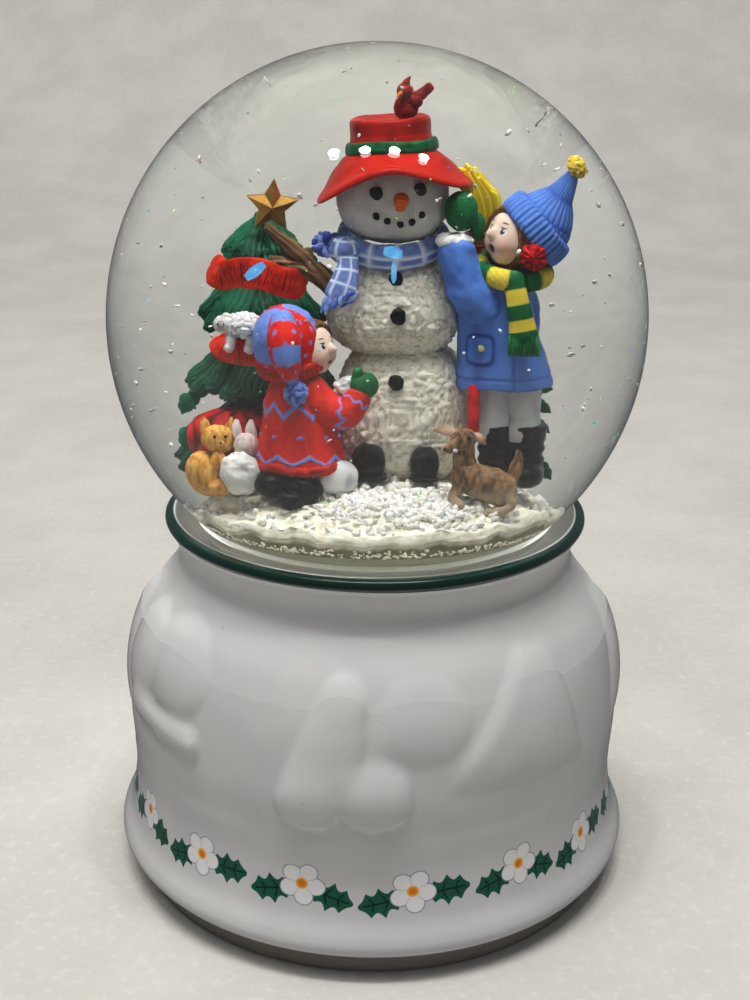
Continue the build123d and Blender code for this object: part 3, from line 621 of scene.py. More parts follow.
def glass_finish():
    """Clear glass with faint waves from the blowing."""
    book = Book("clear_glass")
    tint = col((0.988, 0.994, 0.992))
    book.bump(book.grain(90, 2), 0.00002)
    book.set(Base_Color=tint, Roughness=0.0, IOR=GLASS_IOR, Transmission_Weight=1.0,
             Specular_IOR_Level=0.15)
    return book.lamp_rays_pass(book.shader.outputs[0], tint)


def water_finish():
    """Water bends light as it passes but hardly mirrors against glass, so it only refracts."""
    book = Book("clear_water")
    tint = col((0.982, 0.99, 0.987))
    bend = book.node("ShaderNodeBsdfRefraction", None, {"Color": tint, "Roughness": 0.0, "IOR": WATER_IOR})
    book.tree.nodes.remove(book.shader)
    return book.lamp_rays_pass(bend, tint)


GLASS = glass_finish()
WATER = water_finish()


def plain(name, colour, second, roughness, scale=600, bump=0.00003, metallic=0.0):
    """A moulded or machined finish: two near colours mixed by noise, patchy roughness and a fine bump."""
    book = Book(name)
    patches = book.grain(scale, 4)
    book.bump(book.grain(scale * 5, 2), bump)
    return book.set(Base_Color=book.mix(patches, col(colour), col(second)), Metallic=metallic,
                    Roughness=roughness - 0.1 + patches * 0.2)


RUBBER = plain("stopper_rubber", rgb(150, 147, 122), rgb(132, 129, 104), 0.6)
SILICONE = plain("silicone", rgb(214, 214, 210), rgb(196, 197, 192), 0.35)
BLACK_PLASTIC = plain("black_plastic", rgb(30, 30, 32), rgb(38, 38, 40), 0.5, 2500, 0.00006)
STEEL = plain("turned_steel", rgb(176, 178, 182), rgb(150, 152, 158), 0.28, 900, 0.00001, 1.0)
BRASS = plain("machined_brass", rgb(206, 170, 104), rgb(176, 140, 80), 0.26, 700, 0.00001, 1.0)
ZINC = plain("cast_zinc", rgb(150, 152, 156), rgb(126, 128, 132), 0.45, 800, 0.00005, 0.9)
print("materials so far", len(bpy.data.materials))

# %% [markdown]
# ## The ceramic base
# A slip-cast, bell-shaped shell: the outside is modelled with soft relief, like shapes under fresh
# snow, and the inside is plain. The section is one closed outline turned round the axis, so the wall
# has its real thickness and the piece looks right from underneath too. Only the outer wall gets the
# relief, as a sum of smooth pads in flat coordinates: u along the wall and z up, both in millimetres.

# %% Base section and relief


def straight(*points, count=8):
    """Points along straight stretches of a section, several to each stretch."""
    p = np.array(points, float)
    at = np.linspace(0, len(p) - 1, count * (len(p) - 1) + 1)
    return np.stack([np.interp(at, np.arange(len(p)), p[:, n]) for n in range(2)], -1)


def smooth(*points, count=20):
    """Points along a smooth stretch of a section."""
    return curve([(r, 0, z) for r, z in points], count)[:, [0, 2]]


def pad(u, z, middle, size, height, edge=1.0):
    """A soft cushion: height * (1 - d^2)^edge inside the ellipse d < 1, and nothing outside."""
    d2 = ((u - middle[0]) / size[0]) ** 2 + ((z - middle[1]) / size[1]) ** 2
    return height * np.clip(1 - d2, 0, 1) ** edge


def limb(u, z, start, end, radii, height, edge=0.6):
    """A soft limb: height * (1 - d^2)^edge, where d is the distance to a line over its running radius."""
    a, b = np.array(start, float), np.array(end, float)
    along = np.clip(((u - a[0]) * (b[0] - a[0]) + (z - a[1]) * (b[1] - a[1])) / ((b - a) ** 2).sum(), 0, 1)
    far = np.hypot(u - a[0] - along * (b[0] - a[0]), z - a[1] - along * (b[1] - a[1]))
    return height * np.clip(1 - (far / (radii[0] + along * (radii[1] - radii[0]))) ** 2, 0, 1) ** edge


def join(*shapes):
    """Blend shapes into one: the cube root of the sum of their cubes."""
    return sum(shape ** 3 for shape in shapes) ** (1 / 3)


def middle_figure(u, z):
    """A figure under snow: a body, a skirt on two round feet with a sharp edge, and an arm to the right."""
    body = limb(u, z, (-5.5, 52.5), (-8.0, 41), (4.8, 6.8), 1.5, 0.7)
    skirt = limb(u, z, (-11.2, 37.2), (2.2, 37.4), (5.4, 4.9), 1.5, 0.55)
    feet = join(pad(u, z, (-10.8, 34.6), (6.4, 5.2), 1.8, 0.35),
                pad(u, z, (0.4, 35.0), (6.6, 5.0), 1.7, 0.35))
    arm = pad(u, z, (9.0, 49.4), (9.4, 7.8), 1.0, 0.8)
    dents = ((0.5, -0.5, 1.2, 49.6, 1.3), (0.45, 1.6, 1.8, 58.2, 0.9), (0.35, -15.7, 1.6, 57.4, 1.0),
             (0.5, 1.0, 0.9, 51, 4.0), (0.4, -4.9, 1.0, 31.5, 3.0), (0.4, -16.5, 1.0, 38.6, 1.0))
    hollows = sum(deep * bump(u, at, wide) * bump(z, high, tall) for deep, at, wide, high, tall in dents)
    return join(body, skirt, feet, arm) - hollows


def right_drift(u, z):
    """A drift between two slanted sides: height * (1 - s^3)^0.8 * (1 - q^3)^0.7, with a ridge on the left."""
    left, right = 15.0 + 0.78 * (z - 40.4), 43.4 - 0.27 * (z - 39.8)
    s = np.clip(np.abs(2 * u - left - right) / np.maximum(right - left, 4), 0, 1)
    q = np.clip(np.abs(z - 47.0 + 0.06 * (u - 30)) / 11.5, 0, 1)
    ridge = 0.28 * bump(u, left + 2.6, 2.2) * step(z, 38, 43) * (1 - step(z, 54, 58))
    return 1.45 * (1 - s ** 3) ** 0.8 * (1 - q ** 3) ** 0.7 + ridge


def left_figure(u, z):
    """A rounded body that rides on a long low bar with a crease over it."""
    body = join(pad(u, z, (-43.5, 51), (10.6, 9.2), 1.5, 0.7), pad(u, z, (-57, 49), (9, 10), 1.7, 0.5))
    bar = limb(u, z, (-55, 40.8), (-36.2, 39.8), (3.2, 2.4), 1.6, 0.4)
    rail = limb(u, z, (-46, 36.9), (-34.6, 38.0), (1.1, 0.9), 0.8, 0.7)
    return join(body, bar, rail) - 0.5 * bump(z, 43.0 - 0.1 * (u + 45), 0.8) * bump(u, -45, 6)


def snowy_relief(u, z):
    """The scene under snow, one third of the way round."""
    return join(np.clip(middle_figure(u, z), 0, 3), right_drift(u, z), np.clip(left_figure(u, z), 0, 3))


RELIEF_R = 48.7
RELIEFS = [(0.0, 1), (123.0, -1), (-126.0, 1)]


def base_section():
    """The closed outline of the wall as (radius, height): up the cavity, over the lip, down the outside."""
    cavity = straight((45.8, 0.4), (45.8, 15.4), (43.25, 15.5), (43.2, 44.0), count=9)
    vault = smooth((43.2, 44.0), (42.3, 49.5), (40.3, 53.2), (36.0, 57.2), (32.0, 58.8), count=12)
    seat = straight((32.0, 62.4), (34.85, 62.5), (34.9, 72.45), count=6)
    lip = smooth((35.0, 72.6), (36.6, 72.95), (38.2, 73.1), (39.9, 73.08), (40.6, 72.7), (40.8, 72.1),
                 (40.6, 71.4), (40.1, 70.8), count=26)
    wall = smooth((39.6, 70.0), (38.1, 65.4), (40.3, 61.0), (44.5, 55.3), (47.4, 47.1), (48.9, 35.5),
                  (48.6, 27.0), (48.5, 20.3), (49.6, 13.0), (51.35, 9.2), (51.8, 7.4), (51.4, 6.0),
                  (50.4, 5.05), (49.0, 4.7), count=124)
    foot = straight((48.3, 4.45), (48.05, 4.0), (48.0, 0.25), (47.7, 0.0), (46.1, 0.0), count=4)
    section = np.concatenate([cavity, vault[1:], seat, lip, wall, foot])
    is_wall = np.zeros(len(section))
    is_wall[-len(wall) - len(foot):-len(foot)] = 1
    return section, is_wall


def ceramic_base():
    """Turn the section, then push the outer wall out by the relief and by a faint slip-cast wave."""
    section, is_wall = base_section()
    a = around(460)
    r, z = section[:, :1] + 0 * a, section[:, 1:] + 0 * a
    side = np.degrees(np.arctan2(np.sin(a), np.cos(a)))
    lift = np.zeros(r.shape)
    for place, way in RELIEFS:
        u = way * np.radians((side - place + 180) % 360 - 180) * RELIEF_R
        lift = np.maximum(lift, snowy_relief(u, z))
    points = np.stack([r * np.sin(a), -r * np.cos(a), z], -1)
    lift = lift + 0.16 * layered(points, 14.0, 2, 5)
    fade = step(z, 26.0, 29.0) * (1 - step(z, 61.0, 66.0)) * is_wall[:, None]
    r = r + np.minimum(lift * fade, np.clip(51.4 - r, 0, None))
    return np.stack([r * np.sin(a), -r * np.cos(a), z], -1)


piece("glazed_base", loop(ceramic_base(), rgb(226, 226, 224)), GLAZE, "ceramic_base")

# %% [markdown]
# ## Ball, water and stopper
# The ball is blown glass with a short neck, filled and closed by a rubber stopper, which carries the
# figures. The glass is turned as one outline that runs down the inside, round the neck's end and up
# the outside, so it is a true shell. The water is a second closed body with a flat bottom.

# %% Glass shell and water


def arc(radius, low, high, count):
    """Points (radius, height) on a circle about the ball's centre, from one angle above level to another."""
    t = np.radians(np.linspace(low, high, count))
    return np.stack([radius * np.cos(t), BALL_Z + radius * np.sin(t)], -1)


def glass_section():
    """Inner face from the top down, the neck, and the outer face back up to the top."""
    inner_r = BALL_R - GLASS_WALL
    inner_low = -math.degrees(math.acos(NECK_BORE_R / inner_r))
    outer_low = -math.degrees(math.acos(NECK_R / BALL_R))
    neck = straight((NECK_BORE_R, 72.0), (NECK_BORE_R, 66.3), (NECK_BORE_R + 0.5, 66.0),
                    (NECK_R - 0.5, 66.0),
                    (NECK_R, 66.3), (NECK_R, 71.2), count=3)
    return np.concatenate([arc(inner_r, 89.7, inner_low, 120), neck, arc(BALL_R, outer_low, 89.7, 120)])


WATER_R = BALL_R - GLASS_WALL + 0.3
WATER_FLOOR = 72.9


def water_section():
    """The ball's inside, a hair into the glass, ending in a flat floor inside the stopper's face."""
    low = -math.degrees(math.asin((BALL_Z - WATER_FLOOR) / WATER_R))
    side = arc(WATER_R, 89.7, low, 130)
    return np.concatenate([side, straight(tuple(side[-1] - (0.4, 0.05)), (0.5, WATER_FLOOR - 0.05),
                                          count=6)])


white = rgb(255, 255, 255)
piece("blown_ball", skin(turn_section(glass_section(), 200), white), GLASS, "glass_globe")
piece("water", skin(turn_section(water_section(), 200), white), WATER, None)

# %% [markdown]
# ## Finishes for the hidden works
# The music movement, the key and the cover plate are seen only from below, and their CAD shapes are
# already right. They keep their meshes and only get a finish each: brass for the wheels, steel for
# the arbors and the comb, cast zinc for the bedplate, and pebbled black plastic for the cover.

# %% Finishes on CAD nodes
NODE_FINISHES = {
    RUBBER: ["rubber_stopper"],
    SILICONE: ["sealant_ring", "cover_bead"],
    BLACK_PLASTIC: ["cover_plate"],
    ZINC: ["bedplate"],
    STEEL: ["movement_screws", "winding_arbor", "arbor_circlip", "mainspring", "cylinder_arbor", "comb",
            "bench_screws"],
    BRASS: ["winding_key", "spring_barrel", "barrel_lid", "note_cylinder", "cylinder_wheel", "second_wheel",
            "governor_fan", "governor_frame"],
}
for finish, names in NODE_FINISHES.items():
    for name in names:
        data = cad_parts[name].data
        data.materials.clear()
        data.materials.append(finish)
print("finished nodes", sum(len(names) for names in NODE_FINISHES.values()))

# %% [markdown]
# ## The snowman
# The snowman is three rough snow forms, a little square at the shoulders because they were carved
# for a mould. The snow's crust is real geometry: noise about a millimetre across, pushed out along
# the surface. A bump map alone would leave the outline too smooth.

# %% Snow bodies
SNOW_LIGHT = rgb(240, 236, 222)
SNOW_SHADE = rgb(196, 184, 158)
FACE_SNOW = rgb(206, 204, 200)
COAL = rgb(14, 14, 17)
MOUND_NODE_LOW, MOUND_NODE_HIGH = node_box("snow_mound")


def crust(rings, size, height, seed):
    """Rough snow: layered noise pushed outwards, with painted shade in the hollows, which are coloured darker
    and warmer.
    """
    rough = layered(rings, size, 3, seed)
    lumps = np.abs(layered(rings, size, 2, seed + 9)) + 0.5 * np.abs(layered(rings, size * 0.45, 2,
                                                                             seed + 10))
    relief = rough * 0.35 + lumps * 1.1 - 0.5
    return push(rings, relief * height), blend(SNOW_SHADE, SNOW_LIGHT, step(lumps, 0.02, 0.5))


def lower_body():
    """The big lower form, wider towards the ground."""
    rings = ball((3.7, 0.2, 96.6), (9.3, 8.8, 10.4), 150, 230, 0.74)
    spread = 1 + 0.05 * (96 - rings[..., 2:]) / 10
    rings[..., :2] = (rings[..., :2] - (3.7, 0.2)) * spread + (3.7, 0.2)
    return crust(rings, 0.85, 0.34, 3)


def upper_body():
    """The middle form: full below, drawn in to the neck."""
    rings = ball((2.3, 0.0, 112.0), (9.1, 8.0, 7.6), 150, 230, 0.8)
    high = (rings[..., 2:] - 112) / 8
    rings[..., :2] = (rings[..., :2] - (2.3, 0)) * (1 - 0.16 * high - 0.06 * high ** 2) + (2.3, 0)
    return crust(rings, 0.85, 0.34, 7)


LOWER, UPPER = lower_body(), upper_body()
piece("snowman_base", skin(*LOWER), SNOW_PAINT, "snowman_lower_body")
piece("snowman_chest", skin(*UPPER), SNOW_PAINT, "snowman_upper_body")

# %% Head, coals, carrot


def snowman_head():
    """A smoother form with cheeks: a wide ball with two soft swellings, a faint crust, and painted grey shade
    from the hat on its upper half.
    """
    rings = ball((2.0, -0.1, 127.2), (7.8, 7.0, 6.7), 90, 140, 0.86)
    cheeks = sum(bump(rings[..., 0], x, 3.0) * bump(rings[..., 2], 125.2, 2.6) for x in (-1.8, 6.6))
    rings = push(rings, 0.45 * cheeks * (rings[..., 1] < 0))
    rough = layered(rings, 1.5, 3, 21)
    colour = blend(FACE_SNOW, rgb(226, 222, 212), step(rough, -0.6, 0.9))
    # Painted shade: the head turns grey towards the top, where the hat's shadow falls.
    shade = step(rings[..., 2], 121, 133)
    return push(rings, 0.1 * rough), blend(colour, rgb(176, 176, 180), shade * 0.55)


def bead(place, radii, count=10, ring=14, colour=COAL):
    """A small plain ball: an eye, a nose or a button."""
    return skin(ball(place, radii, count, ring), colour)


def front_of(rings, x, z):
    """How far forward a form's surface is at a place seen from the front: its nearest front point."""
    front = rings.reshape(-1, 3)
    front = front[front[:, 1] < front[:, 1].mean()]
    return float(front[np.argmin((front[:, 0] - x) ** 2 + (front[:, 2] - z) ** 2), 1])


def coal(x, y, z, radius, depth, seed):
    """A lump of coal: a flattened ball with a broken surface."""
    rings = ball((x, y, z), (radius, depth, radius), 18, 26, 0.9)
    return skin(dent(rings, 0.16 * radius, radius, 2, seed), COAL)


FACE_COALS = [(-0.3, 128.9, 0.95), (5.9, 129.3, 0.92), (-0.3, 125.6, 0.52), (1.3, 124.9, 0.5),
              (3.1, 124.4, 0.5),
              (4.75, 124.8, 0.52), (6.2, 125.8, 0.5)]
CHEST_BUTTONS = [(2.6, 116.4, 1.05), (3.0, 111.6, 1.2)]
BASE_BUTTONS = [(2.8, 101.9, 1.1)]


def coals_on(form, spots):
    """Coals pressed into a form, each at its own place."""
    return [coal(x, front_of(form, x, z) - 0.12, z, r, 0.5 * r + 0.2, n) for n,
            (x, z, r) in enumerate(spots)]


HEAD = snowman_head()
piece("snowman_face", skin(*HEAD), SNOW_PAINT, "snowman_head")
piece("face_coals", coals_on(HEAD[0], FACE_COALS), GLOSS_PAINT, "coal_face")
piece("coat_coals", coals_on(UPPER[0], CHEST_BUTTONS) + coals_on(LOWER[0], BASE_BUTTONS), GLOSS_PAINT,
      "coal_buttons")


def carrot():
    """A stubby carrot: a tapering tube with a few rings of dents."""
    rings = stem([(3.2, -5.6, 128.3), (3.2, -7.6, 128.0), (3.15, -9.0, 127.3)], [0.92, 0.88, 0.62], 26, 28,
                 flat=1.25, up=(1, 0, 0))
    along, turn = grid(rings)
    dents = 0.05 * np.cos(along * 40 + np.sin(turn * 2))
    return skin(push(rings, dents), blend(rgb(236, 110, 14), rgb(200, 78, 8),
                                          0.5 + 0.5 * np.cos(along * 40)))


piece("carrot", carrot(), HAND_PAINT, "carrot_nose")

# %% [markdown]
# ## Hat, bird and boots
# The felt hat is one turned outline, from the dished top over the crown and out to the brim's edge
# and back under. Its brim is then bent down at the sides, and the whole is tipped back.
# Turning in numpy, before the mesh exists, keeps the finished object unturned at the origin.

# %% Hat
HAT_FOOT = np.array([2.0, 0.0, 130.4])
HAT_RED = rgb(172, 26, 14)
HAT_DARK = rgb(122, 16, 12)


def tip_hat(points):
    """Set the hat on the head: 12 degrees back and 4 to the side."""
    leaned = spin(points + HAT_FOOT, (0, 1, 0), -4, HAT_FOOT)
    return spin(leaned, (1, 0, 0), -12, HAT_FOOT)


def hat():
    """Turned felt: radius and height along the outline, the brim dropped by 3.3 (x / R)^1.5 at the sides."""
    outline = [(0.05, 6.9), (2.6, 6.95), (4.7, 7.3), (5.4, 7.35), (5.75, 6.8), (5.7, 5.0), (5.85, 3.6),
               (6.1, 2.75),
               (6.9, 2.25), (8.3, 1.6), (9.7, 0.95), (10.7, 0.6), (10.95, 0.05), (10.5, -0.35), (9.2, -0.1),
               (7.6, 0.5), (6.0, 0.9), (3.0, 1.0), (0.05, 1.0)]
    rings = turned(outline, 130, 150)
    x, r = rings[..., 0], np.hypot(rings[..., 0], rings[..., 1])
    outer = step(r, 5.5, 11)
    rings[..., 2] -= (3.3 - 0.04 * x) * outer * (np.abs(x) / 11) ** 1.5
    rings[..., 2] += 0.25 * outer * np.sin(angle_of(rings, (0, 0)) * 3 + 0.5)
    soft = layered(rings, 3.5, 3, 31)
    rings = push(rings, 0.12 * soft)
    edge = bump(r, 10.9, 0.7)
    colour = blend(HAT_RED, HAT_DARK, step(soft, -0.2, 1.0) * 0.6 + 0.35 * (rings[..., 2] > 5) - 0.4 * edge)
    return skin(tip_hat(rings), colour)


def hat_band():
    """A ribbon round the crown, with a soft wave and a folded lower edge."""
    outline = [(5.6, 2.5), (6.35, 2.6), (6.55, 3.0), (6.45, 3.7), (6.25, 4.15), (5.9, 4.25), (5.5, 4.1),
               (5.5, 2.8)]
    rings = turned(outline, 40, 120)
    turn = angle_of(rings, (0, 0))
    rings[..., 2] += 0.14 * np.sin(turn * 3 + 1)
    rings = dent(rings, 0.07, 1.4, 2, 40)
    return skin(tip_hat(rings), blend(rgb(18, 88, 48), rgb(9, 52, 30),
                                      step(layered(rings, 1.0, 2, 41), -0.4, 0.8)))


piece("felt_hat", hat(), HAND_PAINT, "hat")
piece("hat_ribbon", hat_band(), HAND_PAINT, "hat_band")

# %% Cardinal on the hat


def feathered(rings, seed, height=0.09):
    """Short strokes of feather or fur: noise squeezed across the body, so it reads as long strands."""
    strands = layered(rings * (1.0, 1.0, 0.35), 0.42, 2, seed)
    return push(rings, height * strands), strands


def cardinal():
    """Body, crested head, beak and raised tail, each a small form."""
    body = ball((4.3, 1.0, 139.2), (1.75, 1.6, 1.95), 40, 48)
    body = spin(body, (0, 1, 0), 24, (4.3, 1.0, 140.6))
    head = ball((3.55, 0.4, 142.1), (1.15, 1.15, 1.1), 30, 36)
    crest = stem([(3.6, 0.5, 142.6), (3.9, 0.7, 143.5), (4.35, 0.9, 144.3)], [0.75, 0.5, 0.12], 12, 18,
                 0.7, (0, 1, 0))
    tail = stem([(5.0, 1.3, 140.6), (6.0, 1.8, 141.2), (7.1, 2.3, 142.2)], [0.9, 0.85, 0.7], 14, 18, 0.4,
                (0, 1, 0))
    wing = ball((4.9, 0.0, 140.5), (1.3, 0.6, 1.0), 24, 30)
    beak = stem([(3.1, -0.4, 142.0), (2.7, -1.0, 141.8), (2.4, -1.4, 141.6)], [0.4, 0.25, 0.06], 8, 14)
    parts = []
    for seed, form in enumerate((body, head, crest, tail, wing)):
        form, strands = feathered(form, 50 + seed)
        # Painted shade: the feathers are dark red in the grooves between strands.
        parts.append(skin(form, blend(rgb(96, 14, 18), rgb(150, 26, 26), step(strands, -0.6, 0.8))))
    return parts + [skin(beak, rgb(196, 110, 30)), bead((3.0, -0.45, 142.35), (0.18, 0.12, 0.18), 8, 10)]


piece("cardinal_bird", cardinal(), HAND_PAINT, "cardinal")

# %% Snowman's boots


def boot(x, z, wide, high, seed):
    """A boot seen toe-on: a squat dome with a wrinkled upper, and a thin sole."""
    toe = ball((x, -8.4, z), (wide, 3.0, high), 50, 70, 0.85)
    toe[..., 2] = np.maximum(toe[..., 2], z - high * 0.8)
    sole = ball((x + 0.1, -8.6, z - high * 0.8), (wide * 1.06, 3.2, 0.5), 20, 60, 0.6)
    return [skin(dent(toe, 0.07, 0.9, 3, seed), COAL), skin(sole, rgb(22, 22, 24))]


piece("toe_boots", boot(-1.0, 90.4, 2.45, 2.7, 60) + boot(7.0, 90.2, 2.15, 2.5, 61), GLOSS_PAINT,
      "snowman_boots")

# %% [markdown]
# ## Scarf, twig arm and broom
# A scarf is a flat tube on a path: once round the neck, then a knot and a tail that widens to its
# fringe. The plaid is laid on the points from two counts, one along the path and one round it,
# so the checks follow the cloth instead of cutting through it.

# %% Plaid scarf
PLAID_BLUE = rgb(84, 120, 196)
PLAID_LIGHT = rgb(178, 196, 232)
PLAID_DARK = rgb(58, 82, 158)
THREAD_WHITE = rgb(228, 234, 246)


def plaid(length_mm, wide_mm):
    """Checks by two waves: bands along the cloth, bands across it, and thin white threads over both."""
    def stripes(value, period):
        phase = value / period % 1
        return bump(phase, 0.5, 0.2), bump(phase, 0.02, 0.07) + bump(phase, 0.98, 0.07)

    dark_a, thread_a = stripes(length_mm, 3.0)
    dark_b, thread_b = stripes(wide_mm, 2.4)
    colour = blend(PLAID_BLUE, PLAID_DARK, np.maximum(dark_a, dark_b) * 0.75)
    colour = blend(colour, PLAID_LIGHT, dark_a * dark_b * 0.2 + 0.12)
    return blend(colour, THREAD_WHITE, np.maximum(thread_a, thread_b) * 0.9)


def wool(rings, seed):
    """Knitted or woven surface: fine noise and soft folds along the cloth."""
    return push(rings, 0.1 * layered(rings, 0.7, 2, seed) + 0.1 * 1.5 * layered(rings, 2.6, 2, seed + 1))


def scarf_wrap():
    """An oval path round the neck, lower at the front; the tube is 3 mm high and about 1.7 mm thick."""
    t = np.linspace(-0.3, 2 * np.pi + 0.2, 120) - 2.5
    path = np.stack([2.0 + 6.9 * np.cos(t), 0.2 + 6.4 * np.sin(t),
                     120.6 + 0.9 * np.sin(t) + 0.3 * np.cos(2 * t)], -1)
    rings = tube(path, 1.05, 40, flat=1.75)
    along, turn = grid(rings)
    return skin(wool(rings, 70), plaid(along * 42, turn * 1.3))


def scarf_tail(points, widths, thick, seed):
    """A flat tail that widens, ending in a rounded hem."""
    rings = stem(points, widths, 50, 48, flat=thick, up=(0, -1, 0.2))
    along, turn = grid(rings)
    return skin(wool(rings, seed), plaid(along * 11 + 1, np.cos(turn) * 2.6 + 3.0))


def tuft(start, end, radius, seed, colours):
    """One strand of fringe: a short tapering curl."""
    start, end = np.array(start, float), np.array(end, float)
    middle = (start + end) / 2 + 0.35 * np.array([math.sin(seed * 2.1), -0.6, math.cos(seed * 1.7)])
    rings = stem([start, middle, end], [radius, radius * 1.1, radius * 0.45], 10, 10, 0.8, (0, 1, 0.3))
    return skin(rings, blend(*colours, 0.5 + 0.5 * math.sin(seed * 3.3)))


def scarf():
    """Wrap, knot, front tail with its fringe, and the end thrown over the shoulder."""
    knot = ball((-4.7, -5.7, 120.3), (2.2, 1.6, 2.0), 40, 50)
    along, turn = grid(knot)
    parts = [scarf_wrap(), skin(wool(knot, 75), plaid(turn * 2.2, along * 6)),
             scarf_tail([(-4.2, -6.4, 120.0), (-4.3, -8.0, 117.6), (-5.3, -8.9, 114.6)], [1.4, 1.8, 2.2],
                        0.45, 76)]
    for n in range(13):
        x = -7.3 + n * 0.33
        low = 112.2 + 0.28 * n * 0.5 + 0.4 * math.sin(n * 1.9)
        parts.append(tuft((x + 0.35, -8.9 - 0.25 * (n % 2), 114.6 + 0.04 * n),
                          (x - 0.7, -9.3 - 0.3 * (n % 3), low), 0.38, n,
                          (rgb(70, 100, 178), rgb(150, 174, 226))))
    for n in range(34):
        a = n * 2.4
        reach = 1.1 + 1.5 * ((n * 0.618) % 1)
        hub = (-7.0, -2.6 - 0.5 * (n % 3), 120.6)
        tip = (hub[0] - 0.4 + reach * math.cos(a), hub[1] - 1.3 + 0.6 * math.sin(n),
               hub[2] + 0.9 * reach * math.sin(a))
        parts.append(tuft(hub, tip, 0.62, n, (rgb(58, 70, 150), rgb(138, 154, 214))))
    return parts


piece("plaid_scarf", scarf(), WOOL_PAINT, "snowman_scarf")

# %% Twig arm


def branch(points, radii, seed):
    """Bark: a tapering tube with ridges that run along it and wander, sin(7 a + wave)."""
    rings = stem(points, radii, 46, 40, up=(0, 1, 0.2))
    along, turn = grid(rings)
    ridges = np.abs(np.sin(turn * 3.5 + 2.2 * np.sin(along * 5 + seed)))
    rough = layered(rings, 1.2, 3, seed)
    rings = push(rings, 0.22 * ridges + 0.14 * rough - 0.1)
    # Painted shade: the bark is dark in the grooves between ridges and in its low places.
    return skin(rings, blend(rgb(70, 46, 28), rgb(132, 100, 66), ridges * 0.75 + rough * 0.3))


def twig_arm():
    """The bough, its lower fork, a stub behind and the short spur at the tip."""
    return [branch([(-3.6, -4.0, 112.8), (-7.4, -4.4, 115.9), (-11.2, -4.7, 119.4), (-15.6, -4.6, 123.4)],
                   [1.75, 1.45, 1.15, 0.5], 80),
            branch([(-7.6, -4.3, 116.0), (-10.6, -4.9, 117.5), (-14.9, -4.9, 118.6)], [1.4, 1.15, 0.75],
                   81),
            branch([(-8.6, -3.4, 116.8), (-9.6, -2.8, 118.4), (-9.9, -2.6, 119.6)], [1.0, 0.8, 0.5], 82)]


piece("twig", twig_arm(), HAND_PAINT, "twig_arm")

# %% Broom


def broom():
    """A bundle of straws that fans upwards, two bindings, and a red stick down to the ground."""
    parts = []
    for n in range(34):
        side = (n % 12 - 5.5) / 5.5
        deep = n // 12 - 1.0
        top = 129.9 - 1.6 * abs(side) ** 2 - 0.8 * side + 0.3 * math.sin(n * 2.3)
        path = curve([(14.3 + 0.8 * side, 2.6 + 0.7 * deep, 118.8),
                      (15.0 + 1.5 * side, 2.8 + 1.0 * deep, 122.5),
                      (14.6 + 1.9 * side, 2.9 + 1.2 * deep, 126.3),
                      (12.7 + 2.2 * side, 2.9 + 1.2 * deep, top)], 20)
        rings = tube(path, spaced([0.36, 0.42, 0.4, 0.33], 20), 12)
        parts.append(skin(rings, blend(rgb(206, 166, 24), rgb(236, 214, 60),
                                       0.5 + 0.5 * math.sin(n * 4.1))))
        # Painted shade: behind and below each straw lies a dark brown copy of it, standing for the shade
        # inside the bundle.
        parts.append(skin(rings + (0.0, 0.45, -0.3), rgb(128, 92, 26)))
    t = np.linspace(0, 6.4, 40)
    for z in (119.6, 121.0):
        bind = tube(np.stack([13.9 + 1.6 * np.cos(t), 2.7 + 1.6 * np.sin(t), np.full(40, z)], -1), 0.3, 12)
        parts.append(skin(bind, rgb(120, 30, 16)))
    stick = curve([(13.9, 2.4, 119.5), (13.9, -1.0, 111.0), (13.9, -5.4, 103.0), (13.9, -7.1, 99.6),
                   (13.9, -7.2, 95.0)], 60)
    rings = tube(stick, 0.85, 24, up=(0, 1, 0))
    rings = dent(rings, 0.06, 1.0, 2, 90)
    parts.append(skin(rings, blend(rgb(206, 22, 20), rgb(150, 12, 12),
                                   step(layered(rings, 1.5, 2, 91), -0.4, 0.8))))
    return parts


piece("straw_broom", broom(), GLOSS_PAINT, "broom")

# %% [markdown]
# ## The two children
# Each child is a doll-like cast figure: a head, a knitted hat, a coat, a mitten and legs. The face is
# one ball whose radius depends on direction: a hill for the nose, swellings for the cheeks, hollows
# for the eyes. Colour depends on the same directions, so paint and relief always agree.

# %% Heads


def directions(count, ring):
    """Unit directions in the head's own frame: x ahead, y to its left and z up."""
    t = rows(count, 0.015, 0.985) * np.pi
    a = around(ring)
    return np.stack([np.sin(t) * np.cos(a), np.sin(t) * np.sin(a), -np.cos(t) + 0 * a], -1)


def spot(d, side, high, size):
    """A smooth round patch on the head, at an angle to the side and above the horizontal, in degrees."""
    a, e = math.radians(side), math.radians(high)
    middle = np.array([math.cos(e) * math.cos(a), math.cos(e) * math.sin(a), math.sin(e)])
    away = np.degrees(np.arccos(np.clip(d @ middle, -1, 1)))
    return np.exp(-(away / size) ** 2)


def oval(d, side, high, wide, tall):
    """A painted oval with a crisp edge, in degrees to the side and up."""
    s = np.degrees(np.arctan2(d[..., 1], d[..., 0])) - side
    e = np.degrees(np.arcsin(np.clip(d[..., 2], -1, 1))) - high
    return 1 - step(np.sqrt((s / wide) ** 2 + (e / tall) ** 2), 0.85, 1.1)


def head_axes(forward):
    """The head's own axes in the part's frame, from the way it looks."""
    x = np.array(forward, float) / np.linalg.norm(forward)
    y = np.cross((0, 0, 1), x)
    y /= np.linalg.norm(y)
    return np.stack([x, y, np.cross(x, y)])


